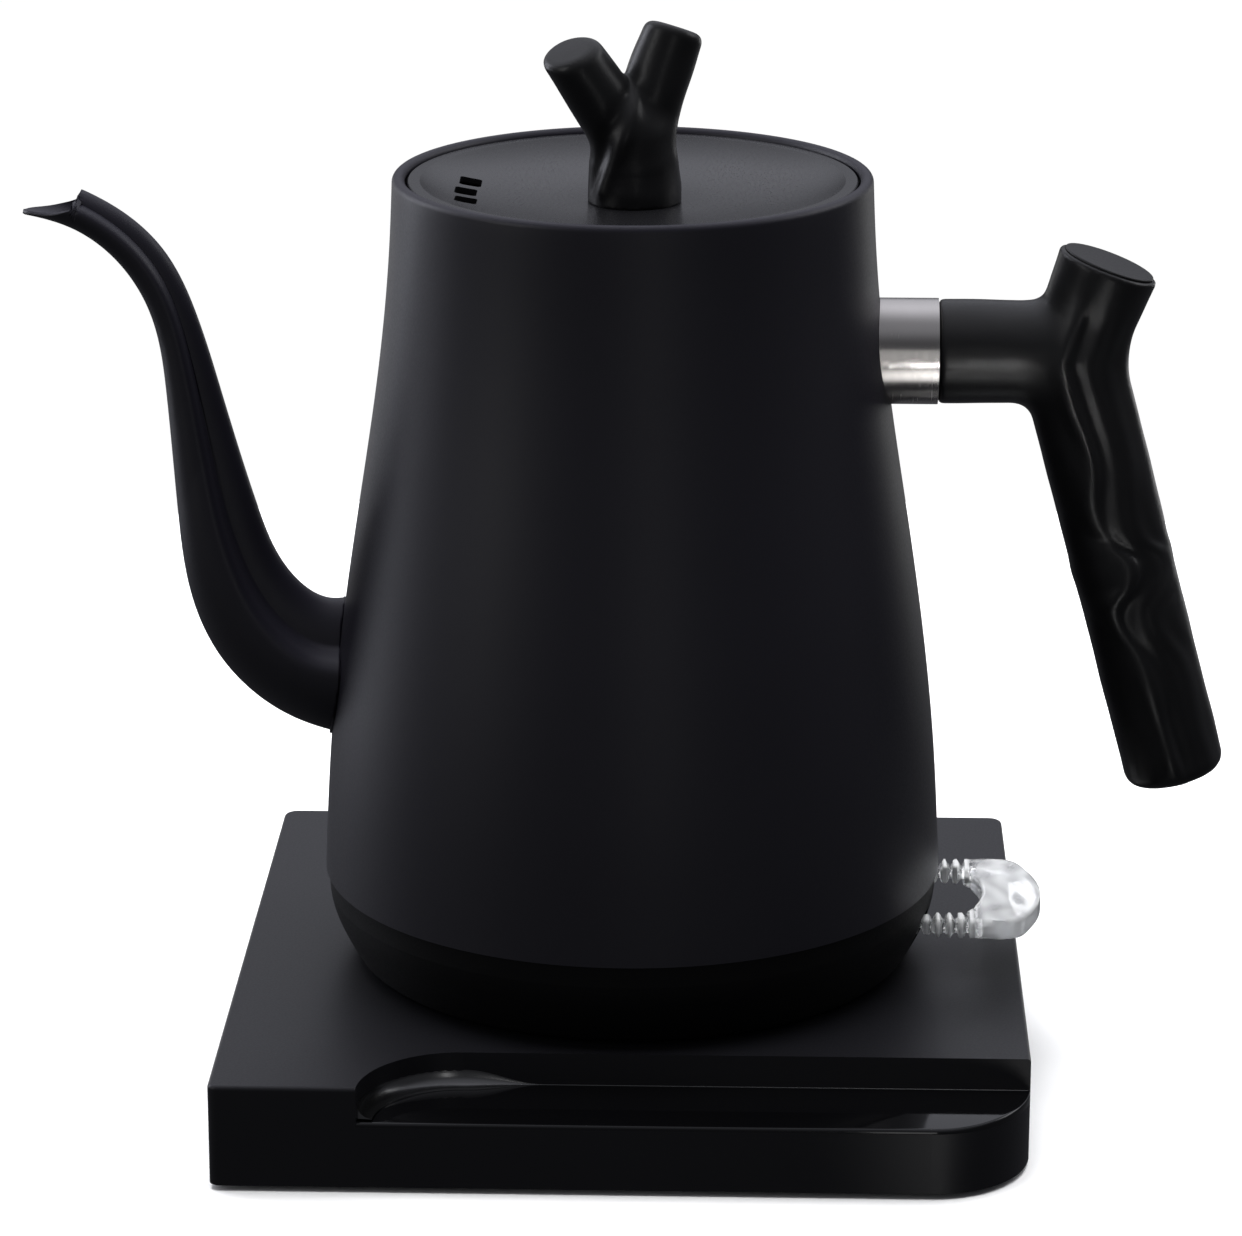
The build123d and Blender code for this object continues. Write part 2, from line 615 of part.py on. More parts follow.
with BuildPart() as bottom_skirt:
    add(skirt_solid(0))
    add(skirt_solid(SKIRT_WALL), mode=Mode.SUBTRACT)
    with BuildSketch(Plane.XY.offset(SKIRT_TOP - 2 * SKIRT_WALL)):
        Circle(SKIRT_SIDE[0][0] - SKIRT_WALL)
    extrude(amount=3 * SKIRT_WALL, mode=Mode.SUBTRACT)
    with BuildSketch(Plane.XY.offset(SKIRT_BOTTOM)):
        Circle(PLUG_RADIUS + 0.5)
    extrude(amount=2 * SKIRT_FLOOR, mode=Mode.SUBTRACT)
    with BuildSketch(Plane.XY.offset(SKIRT_BOTTOM + SKIRT_FLOOR)):
        with Locations(*POST_PLACES):
            Circle(SKIRT_POST_RADIUS)
    extrude(amount=SKIRT_TOP - 0.1 - SKIRT_BOTTOM - SKIRT_FLOOR)
    with BuildSketch(Plane.XY.offset(SKIRT_BOTTOM)):
        with Locations(*POST_PLACES):
            Circle(SKIRT_SCREW[1][0] + 0.2)
    extrude(amount=SKIRT_TOP - SKIRT_BOTTOM, mode=Mode.SUBTRACT)
    with BuildSketch(Plane.XY.offset(SKIRT_BOTTOM)):
        with Locations(*POST_PLACES):
            Circle(SKIRT_SCREW[0][0] + 0.1)
    extrude(amount=SCREW_SUNK + SKIRT_SCREW[0][1], mode=Mode.SUBTRACT)
    with BuildSketch(Plane.XZ.offset(-LUG_OUTER)):
        with Locations((LEVER_PIVOT_X, SKIRT_BOTTOM + 1 + LUG_SIZE[1] / 2)):
            Rectangle(*LUG_SIZE)
    extrude(amount=2 * LUG_OUTER)
    with BuildSketch(Plane.XZ.offset(-LUG_INNER)):
        with Locations((LEVER_PIVOT_X, LEVER_MIDDLE)):
            Rectangle(LUG_SIZE[0] + 1, LUG_SIZE[1] + 2)
    extrude(amount=2 * LUG_INNER, mode=Mode.SUBTRACT)
    with BuildSketch(Plane.XZ.offset(-LUG_OUTER)):
        with Locations((LEVER_PIVOT_X, LEVER_MIDDLE)):
            Circle(LEVER_PIN_RADIUS + 0.03)
    extrude(amount=2 * LUG_OUTER, mode=Mode.SUBTRACT)
    with BuildSketch(Plane.YZ.offset(LEVER_PIVOT_X + 6)):
        for side in (-1, 1):
            with Locations((side * (LEVER_HALF_WIDTH - LEVER_ARM / 2), SLOT_MIDDLE)):
                Rectangle(LEVER_ARM + 2 * SLOT_CLEARANCE, SLOT_HEIGHT)
    extrude(amount=20, mode=Mode.SUBTRACT)
write(bottom_skirt, "bottom_skirt")

with BuildPart() as skirt_screws:
    for radius, length in SKIRT_SCREW:
        with BuildSketch(Plane.XY.offset(SKIRT_BOTTOM + SCREW_SUNK)):
            with Locations(*POST_PLACES):
                Circle(radius)
        extrude(amount=length)
write(skirt_screws, "skirt_screws")

with BuildPart() as lever_pin:
    with BuildSketch(Plane.XZ.offset(-LUG_OUTER)):
        with Locations((LEVER_PIVOT_X, LEVER_MIDDLE)):
            Circle(LEVER_PIN_RADIUS)
    extrude(amount=2 * LUG_OUTER)
write(lever_pin, "lever_pin")

LAMP_X = 50.0
LAMP_RADIUS = 1.5
LAMP_HOLDER = (6.0, 4.0, 2.0)

# The lamp is a round lens on a small holder, between the arms of the lever.
with BuildPart() as indicator_led:
    with BuildSketch(Plane.YZ.offset(LAMP_X)):
        with Locations((0, LEVER_MIDDLE)):
            Circle(LAMP_RADIUS)
    extrude(amount=3 * LAMP_HOLDER[2])
    with BuildSketch(Plane.YZ.offset(LAMP_X)):
        with Locations((0, LEVER_MIDDLE)):
            Rectangle(*LAMP_HOLDER[:2])
    extrude(amount=LAMP_HOLDER[2])
write(indicator_led, "indicator_led")

# --------------------------------------------------------------------------------------------
# Switch lever
# --------------------------------------------------------------------------------------------

LEVER_SHOULDER_X = 80.2
LEVER_HUB_RADIUS = 3.0

# A clear loop: two ribbed arms, a D-shaped hole, and a rounded pad; the arms end in hubs.
with BuildPart() as switch_lever:
    with BuildSketch(Plane.XY.offset(LEVER_Z[0])):
        with BuildLine():
            inner_half = LEVER_HALF_WIDTH - LEVER_ARM
            ThreePointArc((LEVER_SHOULDER_X, -LEVER_HALF_WIDTH), (LEVER_TIP_X, 0),
                          (LEVER_SHOULDER_X, LEVER_HALF_WIDTH))
            Polyline((LEVER_SHOULDER_X, LEVER_HALF_WIDTH), (LEVER_PIVOT_X, LEVER_HALF_WIDTH),
                     (LEVER_PIVOT_X, inner_half), (LEVER_HOLE_CORNER_X, inner_half))
            ThreePointArc((LEVER_HOLE_CORNER_X, inner_half), (LEVER_HOLE_X, 0),
                          (LEVER_HOLE_CORNER_X, -inner_half))
            Polyline((LEVER_HOLE_CORNER_X, -inner_half), (LEVER_PIVOT_X, -inner_half),
                     (LEVER_PIVOT_X, -LEVER_HALF_WIDTH), (LEVER_SHOULDER_X, -LEVER_HALF_WIDTH))
        make_face()
    extrude(amount=LEVER_Z[1] - LEVER_Z[0])
    fillet(switch_lever.edges().filter_by(Axis.Z).group_by(Axis.X)[-1], LEVER_CORNER)
    with BuildSketch(Plane.XZ.offset(-LEVER_HALF_WIDTH)):
        with Locations((LEVER_PIVOT_X, LEVER_MIDDLE)):
            Circle(LEVER_HUB_RADIUS)
    extrude(amount=2 * LEVER_HALF_WIDTH)
    with BuildSketch(Plane.XZ.offset(-LEVER_HALF_WIDTH)):
        with Locations((LEVER_PIVOT_X, LEVER_MIDDLE)):
            Circle(LEVER_BORE_RADIUS)
    extrude(amount=2 * LEVER_HALF_WIDTH, mode=Mode.SUBTRACT)
write(switch_lever, "switch_lever")

# --------------------------------------------------------------------------------------------
# Handle
# --------------------------------------------------------------------------------------------

GRIP_ELBOW = (91.0, 150.0)
GRIP_WAIST = (99.5, 107.0)
GRIP_END = (110.6, 60.6)
ROOT_RADIUS = 10.3
GRIP_RADIUS = 9.9
GRIP_END_RADIUS = 10.0
STUB_START = (88.3, HANDLE_Z)
STUB_END = (95.1, 168.4)
STUB_RADIUS = 9.5
CAP_RADIUS = 8.2
CAP_THICKNESS = 1.6
SCREW_END_X = 76.0

STUB_RUN, STUB_RISE = STUB_END[0] - STUB_START[0], STUB_END[1] - STUB_START[1]
STUB_LENGTH = hypot(STUB_RUN, STUB_RISE)
STUB_AXIS = (STUB_RUN / STUB_LENGTH, 0, STUB_RISE / STUB_LENGTH)
STUB_FACE = Plane((STUB_END[0], 0, STUB_END[1]), x_dir=(0, 1, 0), z_dir=STUB_AXIS)


def along_handle(x: float) -> Plane:
    """A plane across the handle's root at x, facing away from the vessel."""
    return Plane((x, 0, HANDLE_Z), x_dir=(0, 1, 0), z_dir=(1, 0, 0))


# The steel collar is a short tube whose inner end follows the curve of the vessel.
with BuildPart() as handle_collar:
    with BuildSketch(along_handle(INSIDE_WALL_X)):
        Circle(COLLAR_RADIUS)
        Circle(SPIGOT_RADIUS + 0.05, mode=Mode.SUBTRACT)
    extrude(amount=COLLAR_END_X - INSIDE_WALL_X)
    add(vessel_solid(-0.05), mode=Mode.SUBTRACT)
write(handle_collar, "handle_collar")

# The handle is moulded like a branch: a level root, a cut stub above, and the grip below.
with BuildPart() as handle_grip:
    add(limb((COLLAR_END_X + 0.1, HANDLE_Z), ROOT_RADIUS, GRIP_ELBOW, ROOT_RADIUS))
    add(limb(STUB_START, ROOT_RADIUS, STUB_END, STUB_RADIUS))
    add(limb(GRIP_ELBOW, ROOT_RADIUS, GRIP_WAIST, GRIP_RADIUS))
    add(limb(GRIP_WAIST, GRIP_RADIUS, GRIP_END, GRIP_END_RADIUS))
    with Locations((GRIP_ELBOW[0], 0, GRIP_ELBOW[1])):
        Sphere(ROOT_RADIUS)
    with Locations((GRIP_WAIST[0], 0, GRIP_WAIST[1])):
        Sphere(GRIP_RADIUS)
    with BuildSketch(along_handle(INSIDE_WALL_X)):
        Circle(SPIGOT_RADIUS)
    extrude(amount=SCREW_END_X - INSIDE_WALL_X)
    add(vessel_solid(-0.1), mode=Mode.SUBTRACT)
    with BuildSketch(along_handle(INSIDE_WALL_X)):
        Circle(HANDLE_SCREW_RADIUS + 0.05)
    extrude(amount=SCREW_END_X + 1 - INSIDE_WALL_X, mode=Mode.SUBTRACT)
    with BuildSketch(STUB_FACE):
        Circle(CAP_RADIUS + 0.05)
    extrude(amount=-CAP_THICKNESS, mode=Mode.SUBTRACT)
write(handle_grip, "handle_grip")

with BuildPart() as handle_cap:
    with BuildSketch(STUB_FACE):
        Circle(CAP_RADIUS)
    extrude(amount=-CAP_THICKNESS)
write(handle_cap, "handle_cap")

BRACKET_THICKNESS = 1.5
BRACKET_SIZE = (18.0, 14.0)

# A pressed plate follows the inside of the wall and spreads the handle's load.
with BuildPart() as handle_bracket:
    with BuildSketch(along_handle(0)):
        Rectangle(*BRACKET_SIZE)
    extrude(amount=BASE_SIDE / 2)
    add(vessel_solid(WALL + 0.05), mode=Mode.INTERSECT)
    add(vessel_solid(WALL + 0.05 + BRACKET_THICKNESS), mode=Mode.SUBTRACT)
    with BuildSketch(along_handle(0)):
        Circle(HANDLE_HOLE)
    extrude(amount=BASE_SIDE / 2, mode=Mode.SUBTRACT)
write(handle_bracket, "handle_bracket")

SCREW_HEAD_X = 44.6
HANDLE_SCREW_HEAD = (4.0, 2.4)
HEX_SOCKET = (2.0, 1.4)

with BuildPart() as handle_screw:
    with BuildSketch(along_handle(SCREW_HEAD_X)):
        Circle(HANDLE_SCREW_HEAD[0])
    extrude(amount=HANDLE_SCREW_HEAD[1])
    with BuildSketch(along_handle(SCREW_HEAD_X)):
        Circle(HANDLE_SCREW_RADIUS)
    extrude(amount=SCREW_END_X - SCREW_HEAD_X)
    with BuildSketch(along_handle(SCREW_HEAD_X)):
        RegularPolygon(HEX_SOCKET[0], 6)
    extrude(amount=HEX_SOCKET[1], mode=Mode.SUBTRACT)
write(handle_screw, "handle_screw")

# --------------------------------------------------------------------------------------------
# Spout
# --------------------------------------------------------------------------------------------

PAST_MOUTH = 10.0

# The tube is lofted, hollowed, cut to the vessel's wall and cut open along the slanted mouth.
with BuildPart() as spout:
    add(spout_solid(0))
    add(spout_solid(SPOUT_WALL), mode=Mode.SUBTRACT)
    add(vessel_solid(-0.05), mode=Mode.SUBTRACT)
    with BuildSketch(Plane.XZ):
        rise = (MOUTH_CROWN[1] - MOUTH_BEAK[1]) / (MOUTH_CROWN[0] - MOUTH_BEAK[0])
        near = (MOUTH_CROWN[0] + PAST_MOUTH, MOUTH_CROWN[1] + PAST_MOUTH * rise)
        far = (MOUTH_BEAK[0] - PAST_MOUTH, MOUTH_BEAK[1] - PAST_MOUTH * rise)
        above = RIM_TOP + PAST_MOUTH
        with BuildLine():
            Polyline(near, far, (far[0], above), (near[0], above), near)
        make_face()
    extrude(amount=SPOUT_STATIONS[0][2], both=True, mode=Mode.SUBTRACT)
write(spout, "spout")

STRAINER_THICKNESS = 0.6
STRAINER_PITCH = 3.0
STRAINER_HOLE = 0.9
STRAINER_ROWS = 5
STRAINER_PLANE = Plane((0, 0, SPOUT_ROOT_Z), x_dir=(0, 1, 0), z_dir=(-1, 0, 0))

# The strainer is a piece of sheet curved like the wall, with a hexagonal field of holes.
with BuildPart() as spout_strainer:
    with BuildSketch(STRAINER_PLANE):
        Circle(STRAINER_RADIUS)
    extrude(amount=BASE_SIDE / 2)
    add(vessel_solid(WALL + 0.05), mode=Mode.INTERSECT)
    add(vessel_solid(WALL + 0.05 + STRAINER_THICKNESS), mode=Mode.SUBTRACT)
    with BuildSketch(STRAINER_PLANE):
        with HexLocations(STRAINER_PITCH / 2, STRAINER_ROWS, STRAINER_ROWS):
            Circle(STRAINER_HOLE)
    extrude(amount=BASE_SIDE / 2, mode=Mode.SUBTRACT)
write(spout_strainer, "spout_strainer")

# --------------------------------------------------------------------------------------------
# Lid
# --------------------------------------------------------------------------------------------

FLANGE_INNER = 42.5
DISH_FLAT = 12.0
DISH_TURN = (28.0, LID_DISH_Z + 0.9)
LID_EDGE = 0.2
KNOB_SCREW_RADIUS = 2.0
SLOT_PLACES = ((-32.9, -8.4), (-33.4, 0.0), (-32.9, 8.4))

# The lid is pressed sheet: a flat flange at the edge and a shallow dish inside it.
with BuildPart() as lid_cover:
    with BuildSketch(Plane.XZ):
        with BuildLine():
            upper = Spline((FLANGE_INNER, LID_FLANGE_Z), DISH_TURN, (DISH_FLAT, LID_DISH_Z),
                           tangents=[(-1, -0.55), (-1, 0)])
            Polyline(upper @ 1, (0, LID_DISH_Z), (0, LID_DISH_Z - LID_SHEET), (DISH_FLAT, LID_DISH_Z - LID_SHEET))
            lower = Spline((DISH_FLAT, LID_DISH_Z - LID_SHEET), (DISH_TURN[0], DISH_TURN[1] - LID_SHEET),
                           (FLANGE_INNER - 0.4, LID_FLANGE_Z - LID_SHEET),
                           tangents=[(1, 0), (1, 0.55)])
            Polyline(lower @ 1, (LID_RADIUS, LID_FLANGE_Z - LID_SHEET), (LID_RADIUS, LID_FLANGE_Z - LID_EDGE),
                     (LID_RADIUS - LID_EDGE, LID_FLANGE_Z), upper @ 0)
        make_face()
    revolve(axis=Axis.Z)
    with BuildSketch(Plane.XY.offset(PAN_BOTTOM)):
        with Locations(*SLOT_PLACES):
            RectangleRounded(SLOT_LENGTH, SLOT_WIDTH, SLOT_CORNER)
        Circle(KNOB_SCREW_RADIUS + 0.2)
    extrude(amount=RIM_TOP - PAN_BOTTOM, mode=Mode.SUBTRACT)
write(lid_cover, "lid_cover")

# The pan hangs below the dish; its floor has a ring of steam holes.
with BuildPart() as lid_pan:
    with BuildSketch(Plane.XY.offset(PAN_BOTTOM)):
        Circle(PAN_RADIUS)
    extrude(amount=LID_FLANGE_Z - LID_SHEET - PAN_BOTTOM)
    with BuildSketch(Plane.XY.offset(PAN_BOTTOM + PAN_WALL)):
        Circle(PAN_RADIUS - PAN_WALL)
    extrude(amount=RIM_TOP - PAN_BOTTOM, mode=Mode.SUBTRACT)
    with BuildSketch(Plane.XY.offset(PAN_BOTTOM)):
        with PolarLocations(*PAN_HOLES[:2]):
            Circle(PAN_HOLES[2])
    extrude(amount=PAN_WALL, mode=Mode.SUBTRACT)
    add(lid_cover.part, mode=Mode.SUBTRACT)
write(lid_pan, "lid_pan")

# The seal is a thin band round the pan with two lips.
with BuildPart() as lid_seal:
    with BuildSketch(Plane.XZ):
        with BuildLine():
            lip = PAN_RADIUS + 0.4
            Polyline((PAN_RADIUS, SEAL_Z), (lip, SEAL_Z + 0.4), (lip, SEAL_Z + 1.2), (PAN_RADIUS + 0.1, SEAL_Z + 1.8),
                     (lip, SEAL_Z + 2.4), (lip, SEAL_Z + 3.2), (PAN_RADIUS, SEAL_Z + 3.6), (PAN_RADIUS, SEAL_Z))
        make_face()
    revolve(axis=Axis.Z)
write(lid_seal, "lid_seal")

KNOB_FOOT = (0.4, LID_DISH_Z)
KNOB_FOOT_RADIUS = 9.3
KNOB_FORK = (-0.6, 193.0)
KNOB_FORK_RADIUS = 8.9
TWIGS = (((-11.6, 210.4), 6.2), ((7.6, 213.4), 5.8))
KNOB_SCREW_DEPTH = 12.0

# The knob is a twig that forks into two cut ends.
with BuildPart() as lid_knob:
    add(limb(KNOB_FOOT, KNOB_FOOT_RADIUS, KNOB_FORK, KNOB_FORK_RADIUS))
    for twig_end, twig_radius in TWIGS:
        add(limb(KNOB_FORK, KNOB_FORK_RADIUS, twig_end, twig_radius))
    with Locations((KNOB_FORK[0], 0, KNOB_FORK[1])):
        Sphere(KNOB_FORK_RADIUS)
    split(bisect_by=Plane.XY.offset(LID_DISH_Z), keep=Keep.TOP)
    with BuildSketch(Plane.XY.offset(LID_DISH_Z)):
        Circle(KNOB_SCREW_RADIUS + 0.05)
    extrude(amount=KNOB_SCREW_DEPTH, mode=Mode.SUBTRACT)
write(lid_knob, "lid_knob")

WASHER_THICKNESS = 0.8
WASHER_RADIUS = 6.0
WASHER_TOP = LID_DISH_Z - LID_SHEET
KNOB_SCREW_HEAD = (3.6, 2.0)

with BuildPart() as knob_washer:
    with BuildSketch(Plane.XY.offset(WASHER_TOP - WASHER_THICKNESS)):
        Circle(WASHER_RADIUS)
        Circle(KNOB_SCREW_RADIUS + 0.2, mode=Mode.SUBTRACT)
    extrude(amount=WASHER_THICKNESS)
write(knob_washer, "knob_washer")

with BuildPart() as knob_screw:
    with BuildSketch(Plane.XY.offset(WASHER_TOP - WASHER_THICKNESS)):
        Circle(KNOB_SCREW_HEAD[0])
    extrude(amount=-KNOB_SCREW_HEAD[1])
    with BuildSketch(Plane.XY.offset(WASHER_TOP - WASHER_THICKNESS)):
        Circle(KNOB_SCREW_RADIUS)
    extrude(amount=KNOB_SCREW_DEPTH)
write(knob_screw, "knob_screw")
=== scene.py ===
"""Looks of an electric gooseneck kettle on a square power base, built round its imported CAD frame.

Shapes are worked out in millimetres, in the frame of the CAD model, and turned to metres when a mesh is made.
+X points to the handle, -X to the spout, -Y to the front of the base, and +Z up.
"""

import json
import logging
from dataclasses import dataclass, field
from enum import Enum
from typing import Callable, Optional, Sequence

import bmesh
import bpy
import numpy as np
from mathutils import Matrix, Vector


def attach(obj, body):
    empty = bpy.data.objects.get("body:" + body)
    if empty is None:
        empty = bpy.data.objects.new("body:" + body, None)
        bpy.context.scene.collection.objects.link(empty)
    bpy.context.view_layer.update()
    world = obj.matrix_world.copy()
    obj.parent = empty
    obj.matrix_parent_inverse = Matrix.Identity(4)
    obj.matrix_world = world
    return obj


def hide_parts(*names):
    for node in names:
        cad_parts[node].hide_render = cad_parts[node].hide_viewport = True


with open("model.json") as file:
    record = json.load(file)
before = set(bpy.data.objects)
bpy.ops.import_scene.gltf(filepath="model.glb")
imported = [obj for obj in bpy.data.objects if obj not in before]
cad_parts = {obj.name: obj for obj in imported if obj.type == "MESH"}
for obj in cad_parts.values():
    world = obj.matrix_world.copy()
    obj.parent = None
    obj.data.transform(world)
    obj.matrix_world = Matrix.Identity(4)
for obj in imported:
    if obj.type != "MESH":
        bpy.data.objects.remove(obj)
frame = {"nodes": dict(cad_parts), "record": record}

log = logging.getLogger("kettle")

MM = 0.001
WELD_MM = 0.001
Field = Callable[[np.ndarray], np.ndarray]
Point = tuple[float, ...]


# --------------------------------------------------------------------------------------------
# Numbers and curves
# --------------------------------------------------------------------------------------------


def linear(code: str) -> tuple[float, float, float, float]:
    """Turn an sRGB colour such as "#1c1b20" to linear light.

    Args:
        code: the colour as hash and six hex digits.

    Returns:
        Red, green, blue in linear light, and an alpha of 1.
    """
    parts = np.array([int(code[place:place + 2], 16) for place in (1, 3, 5)]) / 255.0
    light = np.where(parts <= 0.04045, parts / 12.92, ((parts + 0.055) / 1.055) ** 2.4)
    return (*light.tolist(), 1.0)


def per_metre(size_mm: float) -> float:
    """Texture scale for a feature of this size, on coordinates in metres."""
    return 1.0 / (size_mm * MM)


def smoothstep(low: float, high: float, value: np.ndarray) -> np.ndarray:
    """0 below low, 1 above high, and 3t^2 - 2t^3 between them."""
    t = np.clip((value - low) / (high - low), 0.0, 1.0)
    return t * t * (3.0 - 2.0 * t)


def through(points: Sequence[Point], samples: int) -> np.ndarray:
    """A natural cubic spline through points, spaced evenly by chord length.

    The second derivatives M solve the usual tridiagonal system, with M = 0 at both ends.

    Args:
        points: the points, in any number of dimensions.
        samples: how many points to return.

    Returns:
        An array of samples rows.
    """
    knots = np.array(points, float)
    chord = np.linalg.norm(np.diff(knots, axis=0), axis=1)
    t = np.concatenate([[0.0], np.cumsum(chord)])
    count, h = len(knots), chord
    system, right = np.eye(count), np.zeros_like(knots)
    inner = np.arange(1, count - 1)
    system[inner, inner - 1] = h[:-1]
    system[inner, inner] = 2.0 * (h[:-1] + h[1:])
    system[inner, inner + 1] = h[1:]
    slope = np.diff(knots, axis=0) / h[:, None]
    right[inner] = 6.0 * np.diff(slope, axis=0)
    bend = np.linalg.solve(system, right)
    at = np.linspace(0.0, t[-1], samples)
    k = np.clip(np.searchsorted(t, at, side="right") - 1, 0, count - 2)
    a, b, width = (t[k + 1] - at)[:, None], (at - t[k])[:, None], h[k][:, None]
    return (
        (bend[k] * a ** 3 + bend[k + 1] * b ** 3) / (6.0 * width)
        + (knots[k] / width - bend[k] * width / 6.0) * a
        + (knots[k + 1] / width - bend[k + 1] * width / 6.0) * b
    )


def arc(centre: Point, radius: float, start: float, end: float, samples: int) -> np.ndarray:
    """Points on a circle in a plane, from one angle in degrees to another: P = centre + r (cos a, sin a)."""
    turn = np.radians(np.linspace(start, end, samples))
    return np.array(centre) + radius * np.stack([np.cos(turn), np.sin(turn)], axis=1)


# --------------------------------------------------------------------------------------------
# Meshes
# --------------------------------------------------------------------------------------------


@dataclass
class Surface:
    """Vertices in millimetres, and faces as rows of vertex numbers."""

    vertices: np.ndarray
    faces: list


def grid(points: np.ndarray, round_u: bool = False, round_v: bool = False) -> Surface:
    """Turn a grid of points P(u, v) into quads.

    Args:
        points: an array of (u, v, 3).
        round_u: join the last row to the first.
        round_v: join the last column to the first.

    Returns:
        The surface; faces run anticlockwise in u and then v.
    """
    rows, columns = points.shape[:2]
    number = np.arange(rows * columns).reshape(rows, columns)
    if round_u:
        number = np.vstack([number, number[:1]])
    if round_v:
        number = np.hstack([number, number[:, :1]])
    quads = np.stack([number[:-1, :-1], number[1:, :-1], number[1:, 1:], number[:-1, 1:]], axis=-1)
    return Surface(points.reshape(-1, 3), quads.reshape(-1, 4).tolist())


def revolved(profile: np.ndarray, sides: int, closed: bool = False) -> Surface:
    """Turn a profile of (radius, height) about Z: P = (r cos a, r sin a, z).

    Args:
        profile: rows of radius and height.
        sides: how many steps round.
        closed: whether the profile's last point joins its first.

    Returns:
        The turned surface.
    """
    turn = np.linspace(0.0, 2.0 * np.pi, sides, endpoint=False)
    radius, height = profile[:, 0][:, None], profile[:, 1][:, None]
    points = np.stack([radius * np.cos(turn), radius * np.sin(turn), height + 0.0 * turn], axis=-1)
    return grid(points, round_u=closed, round_v=True)


def end_caps(rows: int, row: int) -> list[list[int]]:
    """The first and last faces of a tube made of rows of vertices, each row long."""
    last = (rows - 1) * row
    return [list(range(row))[::-1], list(range(last, last + row))]


def joined(surfaces: Sequence[Surface]) -> Surface:
    """Put several surfaces into one; the vertex numbers of each move past those of the ones before it.

    Args:
        surfaces: the surfaces.

    Returns:
        One surface with all their faces.
    """
    starts = np.cumsum([0] + [len(surface.vertices) for surface in surfaces])
    faces = [
        (np.array(face) + start).tolist()
        for surface, start in zip(surfaces, starts)
        for face in surface.faces
    ]
    return Surface(np.vstack([surface.vertices for surface in surfaces]), faces)


def make_mesh(name: str, surface: Surface) -> bpy.types.Mesh:
    """Write a surface into a mesh in metres, merge its doubles and turn its faces outwards.

    Args:
        name: the mesh's name.
        surface: the surface, in millimetres.

    Returns:
        The new mesh.
    """
    mesh = bpy.data.meshes.new(name)
    mesh.from_pydata((surface.vertices * MM).tolist(), [], surface.faces)
    work = bmesh.new()
    work.from_mesh(mesh)
    bmesh.ops.remove_doubles(work, verts=work.verts, dist=WELD_MM * MM)
    bmesh.ops.dissolve_degenerate(work, edges=work.edges, dist=WELD_MM * MM)
    bmesh.ops.recalc_face_normals(work, faces=work.faces)
    work.to_mesh(mesh)
    work.free()
    return mesh


def rows_of(items: Sequence, name: str) -> np.ndarray:
    """Read a property of three numbers, such as co, center or normal, as one array.

    Args:
        items: the vertices or polygons of a mesh.
        name: the property's name.

    Returns:
        One row for each item.
    """
    rows = np.empty(len(items) * 3)
    items.foreach_get(name, rows)
    return rows.reshape(-1, 3)


def surface_of(mesh: bpy.types.Mesh) -> Surface:
    """A mesh's vertices in millimetres, and its faces."""
    faces = [list(polygon.vertices) for polygon in mesh.polygons]
    return Surface(rows_of(mesh.vertices, "co") / MM, faces)


def make_piece(
    name: str,
    mesh: bpy.types.Mesh,
    material: bpy.types.Material,
    body: str,
    stands_for: Sequence[str],
    sharp_degrees: float,
) -> bpy.types.Object:
    """Put a mesh in the scene as a piece that rides on a CAD body.

    Args:
        name: the piece's name.
        mesh: its mesh, in place, in metres.
        material: its finish.
        body: the CAD body that it rides on.
        stands_for: the CAD nodes that it replaces, or none.
        sharp_degrees: edges that turn more than this are shown sharp.

    Returns:
        The new object.
    """
    piece = bpy.data.objects.new(name, mesh)
    bpy.context.scene.collection.objects.link(piece)
    mesh.materials.append(material)
    mesh.shade_smooth()
    mesh.set_sharp_from_angle(angle=float(np.radians(sharp_degrees)))
    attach(piece, body)
    if stands_for:
        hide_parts(*stands_for)
    log.info("%s: %d faces on %s", name, len(mesh.polygons), body)
    return piece


# --------------------------------------------------------------------------------------------
# Branching shapes: distance fields of round limbs, melted together
# --------------------------------------------------------------------------------------------


# Newton's step onto a distance field f divides by at least this |grad f|^2, and moves at most this far in mm.
LEAST_SLOPE = 0.2
LONGEST_STEP = 2.0


def unit(vector: Sequence[float]) -> np.ndarray:
    """The vector at length 1."""
    array = np.array(vector, float)
    return array / np.linalg.norm(array)


def melt(a: np.ndarray, b: np.ndarray, reach: float) -> np.ndarray:
    """Smooth minimum of two distances: min(a, b) - (reach - |a - b|)^2 / (4 reach) where they are close."""
    near = np.maximum(reach - np.abs(a - b), 0.0)
    return np.minimum(a, b) - near * near / (4.0 * reach)


def carve(a: np.ndarray, b: np.ndarray, reach: float) -> np.ndarray:
    """Smooth maximum of two distances, the mirror image of melt."""
    return -melt(-a, -b, reach)


